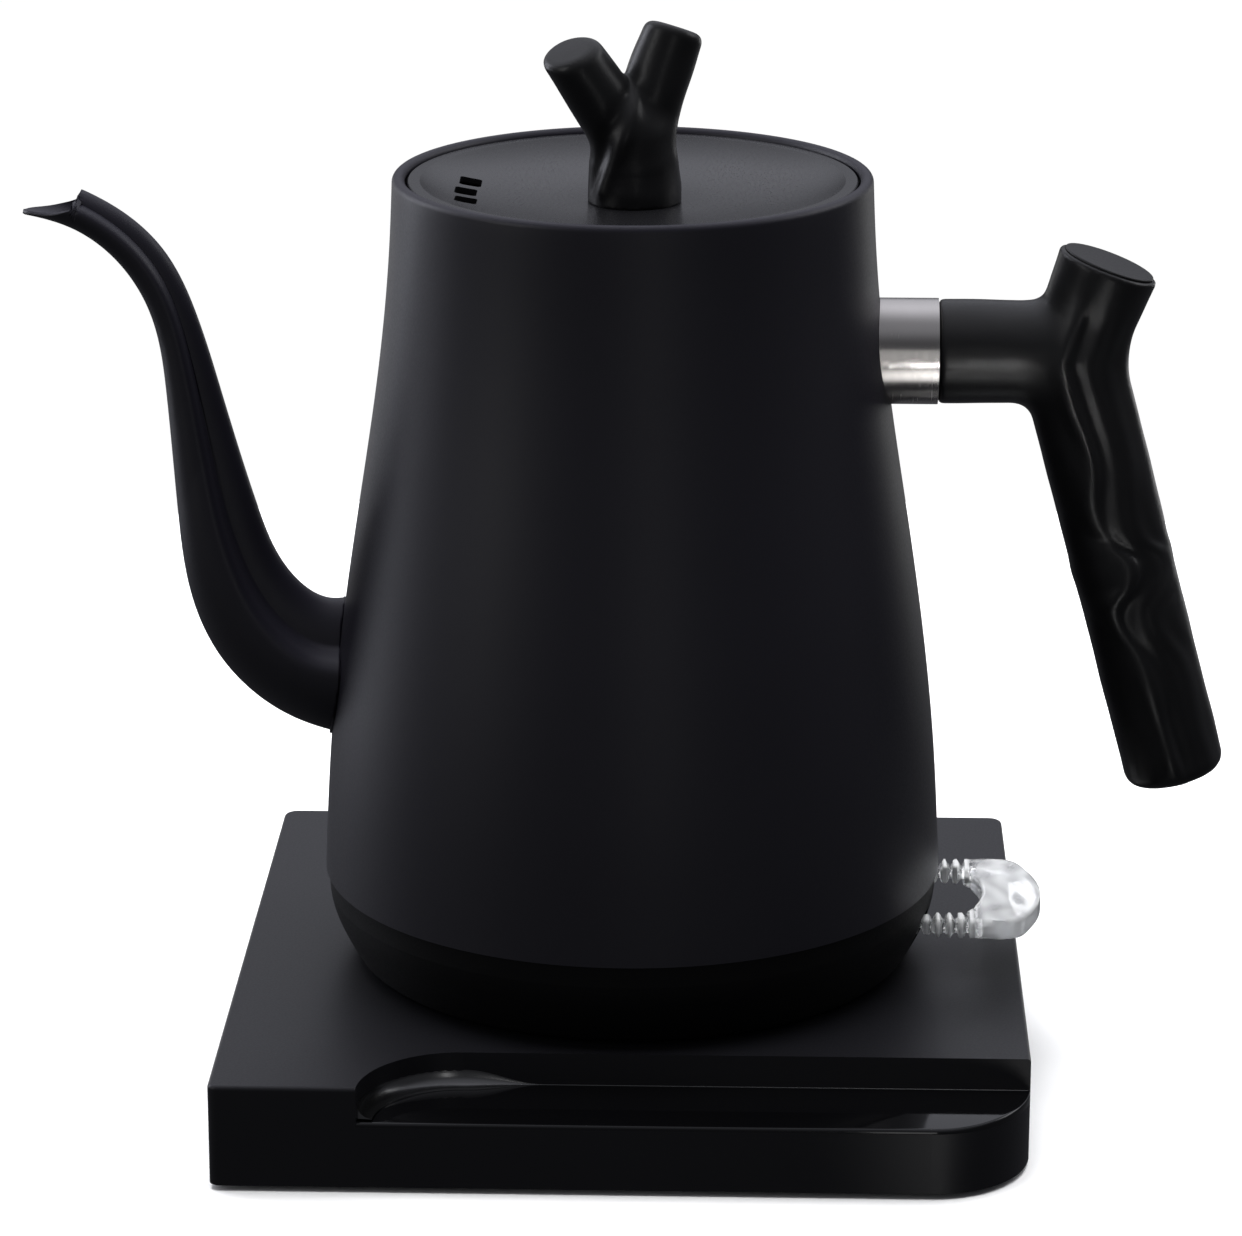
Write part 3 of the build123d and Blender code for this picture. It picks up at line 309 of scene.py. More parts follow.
@dataclass(frozen=True)
class Limb:
    """A round tapered limb with a round start and, where it has a cut, a flat end facing that way."""

    start: Point
    start_radius: float
    end: Point
    end_radius: float
    blend: float = 3.0
    cut: Optional[Point] = None
    cut_round: float = 1.6

    def distance(self, points: np.ndarray) -> np.ndarray:
        """Distance to the limb's surface: distance to its axis less the radius there, cut by the end's plane.

        Args:
            points: rows of x, y and z.

        Returns:
            One distance for each point, below 0 inside.
        """
        start, axis = np.array(self.start), np.array(self.end) - np.array(self.start)
        share = np.clip((points - start) @ axis / (axis @ axis), 0.0, 1.6 if self.cut else 1.0)
        centre = start + share[:, None] * axis
        radius = self.start_radius + np.minimum(share, 1.0) * (self.end_radius - self.start_radius)
        from_axis = np.linalg.norm(points - centre, axis=1) - radius
        if self.cut is None:
            return from_axis
        above = (points - np.array(self.end)) @ unit(self.cut)
        return carve(from_axis, above, self.cut_round)

    def tube(self, rings: int = 14, sides: int = 40) -> Surface:
        """The limb as a closed tube that starts a little deeper, so that it overlaps the limb it grows from.

        Ring i is start + share (end - start) + r (cos a, sin a) across the axis. The last ring is slid
        along the axis onto the cut's plane.

        Args:
            rings: how many rings along the limb.
            sides: how many points in a ring.

        Returns:
            The tube with both ends closed.
        """
        end = np.array(self.end)
        axis = unit(end - np.array(self.start))
        start = np.array(self.start) - 0.75 * self.start_radius * axis
        across = unit(np.cross(axis, (0.31, 0.87, 0.39)))
        turn = np.linspace(0.0, 2.0 * np.pi, sides, endpoint=False)
        ring = np.outer(np.cos(turn), across) + np.outer(np.sin(turn), np.cross(axis, across))
        share = np.linspace(0.0, 1.0, rings)[:, None, None]
        radius = self.start_radius + share * (self.end_radius - self.start_radius)
        points = start + share * (end - start) + radius * ring
        normal = unit(self.cut) if self.cut else axis
        slide = ((end - points[-1]) @ normal) / (axis @ normal)
        points[-1] += slide[:, None] * axis
        tube = grid(points, round_v=True)
        tube.faces += [face[::-1] for face in end_caps(rings, sides)]
        return tube


def melted(limbs: Sequence[Limb], points: np.ndarray) -> np.ndarray:
    """Distance to limbs melted together in order, each with its own reach.

    Args:
        limbs: the limbs, the first one plain.
        points: rows of x, y and z.

    Returns:
        One distance for each point, below 0 inside.
    """
    total = limbs[0].distance(points)
    for limb in limbs[1:]:
        total = melt(total, limb.distance(points), limb.blend)
    return total


def remeshed(surface: Surface, voxel_mm: float) -> Surface:
    """Unite closed tubes into one even skin of small quads with a voxel remesh.

    Args:
        surface: the tubes, which may cut through each other.
        voxel_mm: the size of a quad.

    Returns:
        The skin.
    """
    holder = bpy.data.objects.new("remesh_work", make_mesh("remesh_work", surface))
    bpy.context.scene.collection.objects.link(holder)
    remesh = holder.modifiers.new("remesh", "REMESH")
    remesh.mode, remesh.voxel_size = "VOXEL", voxel_mm * MM
    shown = holder.evaluated_get(bpy.context.evaluated_depsgraph_get())
    even = surface_of(bpy.data.meshes.new_from_object(shown))
    bpy.data.objects.remove(holder)
    return even


def slope(points: np.ndarray, distance: Field, step: float = 0.04) -> np.ndarray:
    """The gradient of a distance field by central differences: (f(p + h) - f(p - h)) / 2h on each axis.

    Args:
        points: rows of x, y and z.
        distance: the field f.
        step: the half width h, in millimetres.

    Returns:
        One gradient for each point.
    """
    offsets = step * np.eye(3)
    columns = [(distance(points + o) - distance(points - o)) / (2.0 * step) for o in offsets]
    return np.stack(columns, axis=1)


def skin(surface: Surface, distance: Field, relief: Field, steps: int = 6) -> Surface:
    """Draw a rough skin onto the surface where distance is 0, then raise it by a relief along its normals.

    Each step moves every point by -f grad f / |grad f|^2, which is Newton's step along the normal.

    Args:
        surface: a skin near the wanted surface.
        distance: the distance field f.
        relief: the height to add at each point, in millimetres.
        steps: how many Newton steps.

    Returns:
        The finished surface.
    """
    points = surface.vertices.copy()
    for _ in range(steps):
        gradient = slope(points, distance)
        size = np.maximum((gradient ** 2).sum(axis=1), LEAST_SLOPE)
        move = np.clip(distance(points) / size, -LONGEST_STEP, LONGEST_STEP)
        points -= move[:, None] * gradient
    normal = slope(points, distance)
    normal /= np.linalg.norm(normal, axis=1)[:, None]
    points += relief(points)[:, None] * normal
    return Surface(points, surface.faces)


def waves(points: np.ndarray, length_mm: float, seed: float) -> np.ndarray:
    """Gentle uneven waves from -1 to 1: the mean of three slanted sines of about one wavelength.

    Args:
        points: rows of x, y and z.
        length_mm: the wavelength.
        seed: shifts the waves along.

    Returns:
        One height for each point.
    """
    turns = 2.0 * np.pi / length_mm
    directions = np.array([[0.9, 0.35, 0.3], [-0.3, 1.0, 0.45], [0.35, -0.5, 1.1]])
    phases = np.array([seed, 2.1 * seed + 1.0, 3.7 * seed + 2.0])
    return np.sin(points @ directions.T * turns + phases).mean(axis=1)


# --------------------------------------------------------------------------------------------
# Materials
# --------------------------------------------------------------------------------------------


def add_node(
    tree: bpy.types.NodeTree, kind: str, settings: Optional[dict] = None, **sockets: object,
) -> bpy.types.Node:
    """Add one node with its settings and links.

    Args:
        tree: the node tree of a material or of the world.
        kind: the node's type name.
        settings: properties of the node.
        **sockets: a value or an output to link, by socket name with _ for a space, or by number as i0.

    Returns:
        The node.
    """
    node = tree.nodes.new(kind)
    for key, value in (settings or {}).items():
        setattr(node, key, value)
    for key, value in sockets.items():
        named = key.replace("_", " ")
        socket = node.inputs[int(key[1:])] if key[0] == "i" and key[1:].isdigit() else node.inputs[named]
        if isinstance(value, bpy.types.NodeSocket):
            tree.links.new(value, socket)
        else:
            socket.default_value = value
    return node


# A noise texture stays almost wholly between these.
NOISE_LOW = 0.25
NOISE_HIGH = 0.75
# How far a place of full painted highlight still lets light through.
PAINTED_HIGHLIGHT_CLEARNESS = 0.25


class Grain(Enum):
    """Which way a surface's fine marks run."""

    EVEN = (1.0, 1.0, 1.0)
    ROUND_X = (1.0, 0.02, 0.02)
    ROUND_Z = (0.02, 0.02, 1.0)


@dataclass(frozen=True)
class Finish:
    """A finish of one solid material with a fine grain, a broader unevenness and slow colour drift.

    Sizes are real ones in millimetres. Where the highlight field names a point attribute, that attribute
    paints highlights into the material, taking it from clear at 0 to three quarters white at 1.
    """

    name: str
    colour: str
    other_colour: str
    roughness: tuple[float, float]
    grain_mm: float
    grain_depth_mm: float
    wave_mm: float = 6.0
    wave_depth_mm: float = 0.0
    grain: Grain = Grain.EVEN
    metallic: float = 0.0
    ior: float = 1.5
    drift_mm: float = 25.0
    painted_highlight: str = ""
    sockets: dict = field(default_factory=dict)

    def material(self) -> bpy.types.Material:
        """Build the finish as a node material on Object coordinates.

        Returns:
            The material.
        """
        material = bpy.data.materials.new(self.name)
        material.use_nodes = True
        tree = material.node_tree
        shader = tree.nodes["Principled BSDF"]
        place = add_node(tree, "ShaderNodeTexCoord").outputs["Object"]
        drift = add_node(tree, "ShaderNodeTexNoise", Vector=place, Scale=per_metre(self.drift_mm), Detail=3.0)
        colour = add_node(
            tree, "ShaderNodeMix", {"data_type": "RGBA"},
            i0=drift.outputs["Fac"], i6=linear(self.colour), i7=linear(self.other_colour),
        )
        tree.links.new(colour.outputs[2], shader.inputs["Base Color"])
        run = add_node(tree, "ShaderNodeMapping", Vector=place, Scale=self.grain.value)
        fine = add_node(
            tree, "ShaderNodeTexNoise", Vector=run.outputs["Vector"],
            Scale=per_metre(self.grain_mm), Detail=2.0, Roughness=0.6,
        )
        rough = add_node(
            tree, "ShaderNodeMapRange", Value=fine.outputs["Fac"],
            From_Min=NOISE_LOW, From_Max=NOISE_HIGH,
            To_Min=self.roughness[0], To_Max=self.roughness[1],
        )
        tree.links.new(rough.outputs["Result"], shader.inputs["Roughness"])
        bump = add_node(
            tree, "ShaderNodeBump", Height=fine.outputs["Fac"],
            Strength=1.0, Distance=self.grain_depth_mm * MM,
        )
        if self.wave_depth_mm:
            wave = add_node(
                tree, "ShaderNodeTexNoise", Vector=place, Scale=per_metre(self.wave_mm), Detail=1.5,
            )
            bump = add_node(
                tree, "ShaderNodeBump", Height=wave.outputs["Fac"], Normal=bump.outputs["Normal"],
                Strength=1.0, Distance=self.wave_depth_mm * MM,
            )
        tree.links.new(bump.outputs["Normal"], shader.inputs["Normal"])
        shader.inputs["Metallic"].default_value = self.metallic
        if not self.metallic:
            shader.inputs["IOR"].default_value = self.ior
        for name, value in self.sockets.items():
            shader.inputs[name].default_value = value
        # Painted highlight: the attribute lowers transmission, so its places turn white.
        if self.painted_highlight:
            amount = add_node(tree, "ShaderNodeAttribute", {"attribute_name": self.painted_highlight})
            clear = add_node(
                tree, "ShaderNodeMapRange", Value=amount.outputs["Fac"],
                From_Min=0.0, From_Max=1.0, To_Min=1.0, To_Max=PAINTED_HIGHLIGHT_CLEARNESS,
            )
            tree.links.new(clear.outputs["Result"], shader.inputs["Transmission Weight"])
        return material


@dataclass
class Palette:
    """Every finish of the kettle, built once."""

    # Powder coat, baked on: very fine matte grain, drawn at 0.5 mm as real grit of 0.1 mm would not show.
    body_coat: Finish = Finish(
        "powder_coated_steel", "#131219", "#17161d", (0.42, 0.52), 0.5, 0.006, 3.0, 0.012,
    )
    # The same paint, sprayed thinner and smoother on the lid, reads as satin and a shade lighter.
    lid_coat: Finish = Finish(
        "satin_sprayed_steel", "#121214", "#161618", (0.22, 0.3), 0.4, 0.0012, 5.0, 0.01,
    )
    # Moulded ABS with a fine spark-eroded texture, drawn at 0.45 mm; it gives a soft broad sheen.
    # Real ABS has an IOR of 1.54. It is lowered here to match the base's dull sheen.
    base_plastic: Finish = Finish(
        "eroded_abs", "#131316", "#161619", (0.36, 0.46), 0.45, 0.008, 8.0, 0.012, ior=1.42,
    )
    # Polished ABS as it leaves a mirror mould: near-black, sharp reflections, faint sink waves.
    gloss_panel: Finish = Finish(
        "polished_abs", "#050506", "#060607", (0.05, 0.09), 2.0, 0.0006, 16.0, 0.004, ior=1.54,
    )
    # The cove at the foot of the ledge's wall, taken to be lacquered ABS; both it and its finish are a guess.
    # It has to mirror more than the inlay, so its IOR is set far above that of any real lacquer (1.5).
    gloss_edge: Finish = Finish(
        "lacquered_abs_edge", "#070708", "#090909", (0.2, 0.26), 2.0, 0.0004, 12.0, 0.003, ior=2.6,
    )
    # Polypropylene with a plain mould finish under the vessel: near-black, and darkened further as painted
    # shade for the shade under the vessel.
    # Real polypropylene has an IOR of 1.49. It is lowered here to keep the skirt as dark as that painted
    # shade.
    skirt_plastic: Finish = Finish(
        "moulded_polypropylene", "#040405", "#060606", (0.5, 0.62), 0.5, 0.006, ior=1.3,
    )
    # Soft-touch moulded nylon; bark relief is in the mesh and the grain is a dry, waxy matte.
    # Real nylon has an IOR of 1.53. It is lowered here to match the handle's dull sheen.
    handle_plastic: Finish = Finish(
        "soft_touch_nylon", "#111112", "#151516", (0.3, 0.42), 0.7, 0.012, 4.5, 0.06, ior=1.42,
    )
    # The cut faces of the branch are moulded smoother and read a shade lighter.
    cap_plastic: Finish = Finish(
        "smooth_moulded_nylon", "#0f0f10", "#131314", (0.42, 0.5), 0.6, 0.006, 5.0, 0.02, ior=1.5,
    )
    # Turned and brushed 304 stainless steel: rings of fine lines round the axis, drawn 0.22 mm apart,
    # because the real ones are finer and would not show.
    collar_steel: Finish = Finish(
        "turned_stainless_steel", "#dad6d2", "#cfcbc7", (0.2, 0.28), 0.22, 0.0008,
        grain=Grain.ROUND_X, metallic=1.0, sockets={"Anisotropic": 0.4},
    )
    # Drawn stainless steel inside the vessel: faint rings round the axis.
    inner_steel: Finish = Finish(
        "drawn_stainless_steel", "#b9b6b2", "#aeaba8", (0.24, 0.38), 0.4, 0.004,
        grain=Grain.ROUND_Z, metallic=1.0,
    )
    # Die-cast aluminium plate: pale, grainy and dull.
    spreader_aluminium: Finish = Finish(
        "cast_aluminium", "#b4b5b6", "#a5a6a8", (0.4, 0.6), 0.8, 0.02, 4.0, 0.03, metallic=1.0,
    )
    # Zinc-plated screw steel: cool grey with a slight mottle.
    screw_steel: Finish = Finish(
        "zinc_plated_steel", "#a3a5a8", "#8f9194", (0.28, 0.42), 0.3, 0.004, metallic=1.0, drift_mm=3.0,
    )
    # Rolled brass contacts, lightly tarnished.
    contact_brass: Finish = Finish(
        "rolled_brass", "#c9a75a", "#b08c45", (0.22, 0.38), 0.3, 0.003, metallic=1.0, drift_mm=5.0,
    )
    # Glass-filled nylon of the connector: dull black with a flow grain.
    coupler_plastic: Finish = Finish(
        "glass_filled_nylon", "#141415", "#1a1a1b", (0.5, 0.66), 0.5, 0.012, ior=1.53,
    )
    # Nitrile rubber feet and grommet: dead matte.
    foot_rubber: Finish = Finish(
        "nitrile_rubber", "#101010", "#151515", (0.7, 0.85), 0.6, 0.015, ior=1.52,
    )
    # Food-grade silicone, off-white and waxy.
    seal_silicone: Finish = Finish(
        "food_silicone", "#cfccc4", "#c6c2b8", (0.4, 0.52), 0.8, 0.006, ior=1.41,
        sockets={"Subsurface Weight": 0.3, "Subsurface Scale": 0.002},
    )
    # Cast acrylic of the lever: IOR 1.49, a polish with faint mould waves, with white painted highlights on
    # its rib crests and swirled painted reflections on its pad.
    clear_plastic: Finish = Finish(
        "clear_acrylic", "#ffffff", "#f4f6f7", (0.04, 0.1), 1.5, 0.003, 4.0, 0.02, ior=1.49,
        painted_highlight="painted_highlight",
    )
    # Diffusing polycarbonate lens of the lamp, unlit.
    lamp_plastic: Finish = Finish(
        "diffusing_polycarbonate", "#b8c6d8", "#aebccd", (0.25, 0.35), 0.4, 0.004, ior=1.585,
        sockets={"Transmission Weight": 0.4},
    )

    def __post_init__(self) -> None:
        """Build each finish's material and keep it by slot name."""
        self.built = {
            name: value.material() for name, value in vars(self).items() if isinstance(value, Finish)
        }

    def __getitem__(self, slot: str) -> bpy.types.Material:
        """The material of one slot."""
        return self.built[slot]


# --------------------------------------------------------------------------------------------
# Sub-assemblies
# --------------------------------------------------------------------------------------------


@dataclass
class CarriedNodes:
    """The CAD nodes whose own shape is shown: each gets the finish of its slot in the record."""

    palette: Palette
    slots: dict[str, str]

    def dress(self) -> None:
        """Give every CAD node its finish."""
        for name, node in frame["nodes"].items():
            slot = self.slots[name]
            node.data.materials.clear()
            node.data.materials.append(self.palette[slot])
            log.info("%s wears %s", name, slot)


@dataclass
class Vessel:
    """The drawn body with its rolled rim, and the gooseneck welded to it."""

    palette: Palette
    profile: tuple = ((63.6, 41.0), (62.4, 63.8), (57.0, 109.3), (51.2, 147.0), (48.6, 174.0), (48.1, 184.7))
    wall: float = 0.9
    rim_wire: float = 1.3
    rim_roll: tuple = (0.0, 245.0)
    rim_gap: float = 1.2
    # The ledge's inner radius, underside and top, and how far the wall's curve stops above and below it.
    lid_ledge: tuple = (43.2, 180.8, 181.6)
    ledge_gaps: tuple = (0.6, 0.3)
    crown: tuple = (
        (-55.0, 97.0), (-62.6, 96.0), (-71.3, 102.4), (-77.1, 115.2), (-84.3, 140.5), (-88.8, 156.0),
        (-95.6, 169.9), (-102.1, 176.2), (-110.8, 181.2), (-123.6, 186.0),
    )
    belly: tuple = (
        (-55.0, 68.2), (-69.0, 72.2), (-83.6, 84.2), (-89.3, 96.4), (-92.0, 115.3), (-93.7, 140.6),
        (-96.3, 156.4), (-102.6, 167.6), (-111.4, 174.6), (-126.6, 178.6),
    )
    widths: tuple = (26.0, 23.5, 20.0, 17.0, 14.0, 12.0, 10.4, 9.8, 9.6, 9.0)
    spout_wall: float = 0.85
    shoulder: float = 0.52
    shoulder_crease: tuple = (0.16, 0.4)
    mouth_dip: float = 0.10
    root_depth: float = 0.35
    lining_top: float = 183.8
    shoulder_place: tuple = (-111.9, 178.8)
    beak: tuple = (-122.9, 177.8)

    def radius_at(self, height: np.ndarray) -> np.ndarray:
        """The body's outer radius at a height."""
        line = through(self.profile, 80)
        return np.interp(height, line[:, 1], line[:, 0])

    def wall_surface(self) -> Surface:
        """The wall: outer curve, rolled rim, ledge for the lid, inner curve and lower lip, turned about Z.

        The inner curve is the outer one less the wall's thickness.

        Returns:
            The closed wall.
        """
        outer = through(self.profile, 70)
        top_radius, top = outer[-1]
        roll = arc((top_radius - self.rim_wire, top), self.rim_wire, *self.rim_roll, 22)[1:]
        inner = outer[::-1] - (self.wall, 0.0)
        ledge_radius, low, high = self.lid_ledge
        above, below = self.ledge_gaps
        upper = inner[inner[:, 1] > high + above]
        lower = inner[inner[:, 1] < low - below]
        step = [(upper[-1, 0], high), (ledge_radius, high), (ledge_radius, low), (lower[0, 0], low)]
        profile = np.vstack([outer, roll, upper[upper[:, 1] < top - self.rim_gap], step, lower])
        return revolved(profile, 224, closed=True)

    def spout_surface(self, rows: int = 260, columns: int = 96) -> Surface:
        """The gooseneck: P = belly + (crown - belly)(s + 1)/2, with y = (width/2) sqrt(1 - s^2) w(s).

        s runs from 1 on the crown to -1 on the belly, and w narrows the crown above a shoulder crease.
        Beyond the mouth the section opens: it keeps only s below the rim's line, which falls from the
        shoulder to the beak, so that the pipe ends as a pointed trough. At the root, points that would lie
        inside the body are moved out to just under its surface, x = -sqrt(r(z)^2 - y^2).

        Args:
            rows: how many sections up to the mouth.
            columns: how many points in a section.

        Returns:
            The outer skin of the pipe, open at both ends.
        """
        dense = 1200
        crown, belly = through(self.crown, dense), through(self.belly, dense)
        stations = np.linspace(0.0, 1.0, len(self.widths))
        widths = np.interp(np.linspace(0.0, 1.0, dense), stations, self.widths)
        across, rim = crown - belly, np.array(self.beak) - np.array(self.shoulder_place)
        to_rim = np.array(self.shoulder_place) - belly
        cross = across[:, 0] * rim[1] - across[:, 1] * rim[0]
        share = (to_rim[:, 0] * rim[1] - to_rim[:, 1] * rim[0]) / cross
        along = (to_rim[:, 0] * across[:, 1] - to_rim[:, 1] * across[:, 0]) / cross
        start = int(np.argmax(along >= 0.0))
        opening = int(np.argmin(np.linalg.norm(crown - np.array(self.crown[-2]), axis=1)))
        cut = np.ones(dense)
        cut[start:] = np.minimum(2.0 * share[start:] - 1.0, 1.0)
        ramp = np.linspace(1.0, cut[start], max(start - opening, 1) + 1)
        if start > opening:
            cut[opening:start + 1] = ramp
        end = int(np.argmax(along >= 1.0)) if (along >= 1.0).any() else dense - 1
        tail = slice(start, end)
        cut[tail] -= self.mouth_dip * np.sin(np.pi * np.linspace(0.0, 1.0, end - start)) ** 2
        keep = np.unique(np.concatenate([
            np.linspace(0, opening, rows).astype(int), np.arange(opening, end, 3), [end],
        ]))
        cut[end] = -1.0
        first = np.arccos(np.clip(cut[keep], -1.0, 1.0))[:, None]
        turn = first + (2.0 * np.pi - 2.0 * first) * np.linspace(0.0, 1.0, columns)[None, :]
        s = np.cos(turn)
        narrow = 1.0 - self.shoulder * smoothstep(*self.shoulder_crease, s)
        y = 0.5 * widths[keep][:, None] * np.sin(turn) * narrow
        section = belly[keep][:, None, :] + across[keep][:, None, :] * (s[..., None] + 1.0) / 2.0
        points = np.stack([section[..., 0], y, section[..., 1]], axis=-1)
        root = self.radius_at(points[..., 2]) - self.root_depth
        edge = -np.sqrt(np.maximum(root ** 2 - y ** 2, 1.0))
        points[..., 0] = np.minimum(points[..., 0], edge)
        return grid(points)

    def build(self) -> None:
        """Make the wall and the gooseneck."""
        coat = self.palette["body_coat"]
        wall = make_mesh("vessel_wall", self.wall_surface())
        make_piece("vessel_wall", wall, coat, "kettle", ["body_shell"], 50.0)
        wall.materials.append(self.palette["inner_steel"])
        centre, normal = rows_of(wall.polygons, "center"), rows_of(wall.polygons, "normal")
        inward = (centre[:, :2] * normal[:, :2]).sum(axis=1) < 0.0
        lined = inward & (centre[:, 2] < self.lining_top * MM)
        wall.polygons.foreach_set("material_index", lined.astype(np.int32))
        wall.update()
        spout = make_mesh("gooseneck", self.spout_surface())
        piece = make_piece("gooseneck", spout, coat, "kettle", ["spout"], 60.0)
        shell = piece.modifiers.new("wall", "SOLIDIFY")
        shell.thickness, shell.offset, shell.use_even_offset = self.spout_wall * MM, -1.0, False


@dataclass
class Handle:
    """The branch-shaped handle and the cap on its cut stub."""

    palette: Palette
    root_start: Point = (84.0, 0.0, 150.0)
    root_end: Point = (61.6, 0.0, 150.0)
    grip_top: Point = (87.9, 0.0, 150.0)
    grip_waist: Point = (99.6, 0.0, 107.0)
    grip_end: Point = (112.3, 0.0, 60.6)
    stub_start: Point = (88.8, 0.0, 150.0)
    stub_end: Point = (95.3, 0.0, 168.2)
    cap_radius: float = 9.4
    cap_thickness: float = 0.6
    voxel: float = 0.62
    # The crease down the near side: height and offset from the grip's axis towards +X.
    crease: tuple = (
        (60.0, 2.6), (67.1, 2.4), (75.5, 2.0), (88.2, 1.1), (95.8, -2.2), (98.4, -1.9), (103.4, 2.2),
        (109.4, 3.9), (112.7, 0.4), (117.8, -0.9), (129.7, 1.4), (139.0, 0.8), (152.0, 0.2), (165.0, -1.0),
    )
    # The far side's crease stands at this less the height of the near one.
    crease_turned: float = 225.0

    def limbs(self) -> list[Limb]:
        """Root, stub and the two lengths of the grip.

        Returns:
            The limbs in the order in which they melt together.
        """
        grip = tuple(np.subtract(self.grip_end, self.grip_waist))
        stub = tuple(np.subtract(self.stub_end, self.stub_start))
        return [
            Limb(self.root_start, 10.2, self.root_end, 10.5, 0.1, (-1.0, 0.0, 0.0), 1.2),
            Limb(self.stub_start, 9.2, self.stub_end, 10.3, 2.0, stub, 0.8),
            Limb(self.grip_top, 10.5, self.grip_waist, 10.3, 4.0),
            Limb(self.grip_waist, 10.3, self.grip_end, 10.2, 0.6, grip, 3.4),
        ]

    def distance(self, points: np.ndarray) -> np.ndarray:
        """The limbs melted together in order."""
        return melted(self.limbs(), points)

    def axis_x(self, height: np.ndarray) -> np.ndarray:
        """The x of the grip's axis at a height."""
        places = np.array([self.grip_end, self.grip_waist, self.grip_top, self.stub_end])
        return np.interp(height, places[:, 2], places[:, 0])

    def relief(self, points: np.ndarray) -> np.ndarray:
        """Bark: a wandering crease with a full lip on its left, a flatter right, and slow waves.

        The far side has the same kind of crease, turned end for end. Lip, groove, swell and knot are bells
        h exp(-(d / w)^2) of the distance d from the crease, and the ridges are sines of it.

        Args:
            points: rows of x, y and z on the smooth branch.

        Returns:
            The height to add at each point.
        """
        line = through(self.crease, 200)
        height = points[:, 2]
        side = points[:, 0] - self.axis_x(height)
        on_grip = smoothstep(60.0, 68.0, height) * (1.0 - smoothstep(154.0, 164.0, height))
        on_grip = on_grip * smoothstep(80.0, 88.0, points[:, 0])
        total = 0.12 * waves(points, 26.0, 0.4) + 0.06 * waves(points, 11.0, 1.3)
        for sign, mirrored in ((-1.0, height), (1.0, self.crease_turned - height)):
            here = smoothstep(1.5, 7.0, sign * points[:, 1])
            offset = side - np.interp(mirrored, line[:, 0], line[:, 1]) + 0.4
            strength = 0.62 + 0.38 * np.sin(mirrored / 7.5 + 2.2) * np.sin(mirrored / 17.0 + 0.4)
            lip = 0.8 * np.exp(-((offset + 2.2) / 1.9) ** 2)
            left, right = np.minimum(offset, 0.0), np.maximum(offset, 0.0)
            groove = -0.95 * np.exp(-(left / 0.7) ** 2 - (right / 2.6) ** 2)
            swell = 0.7 * np.exp(-((offset + 3.2) / 2.8) ** 2) * np.sin(mirrored / 6.3 + 1.0) ** 2
            knot = -0.8 * np.exp(-((mirrored - 112.5) / 2.4) ** 2 - ((offset + 1.5) / 3.0) ** 2)
            ridges = 0.14 * np.sin(offset * 1.3 + 0.6 * np.sin(mirrored / 9.0)) * smoothstep(3.0, 5.0, offset)
            total = total + here * on_grip * (strength * (lip + groove) + swell + knot + ridges)
        return total

    def cap_surface(self) -> Surface:
        """The cap: a low disc with a rounded rim over a shadow groove, turned and laid on the stub's cut.

        Returns:
            The closed disc.
        """
        radius, thick = self.cap_radius, self.cap_thickness
        profile = np.vstack([
            [(0.0, -0.6), (radius - 0.45, -0.6), (radius - 0.45, 0.12), (radius, 0.18)],
            arc((radius - 0.35, thick - 0.35), 0.35, 0.0, 90.0, 7),
            [(radius - 1.0, thick + 0.02), (radius * 0.6, thick + 0.10)],
            [(radius * 0.3, thick + 0.13), (0.0, thick + 0.14)],
        ])
        disc = revolved(profile, 128)
        up = unit(np.subtract(self.stub_end, self.stub_start))
        across = np.array([up[2], 0.0, -up[0]])
        turned = disc.vertices @ np.stack([across, (0.0, 1.0, 0.0), up])
        return Surface(turned + np.array(self.stub_end), disc.faces)

    def build(self) -> None:
        """Make the branch and its cap."""
        rough = remeshed(joined([limb.tube() for limb in self.limbs()]), self.voxel)
        branch = make_mesh("handle_branch", skin(rough, self.distance, self.relief))
        make_piece("handle_branch", branch, self.palette["handle_plastic"], "kettle",
                   ["handle_grip"], 70.0)
        make_piece("branch_cap", make_mesh("branch_cap", self.cap_surface()), self.palette["cap_plastic"],
                   "kettle", ["handle_cap"], 50.0)


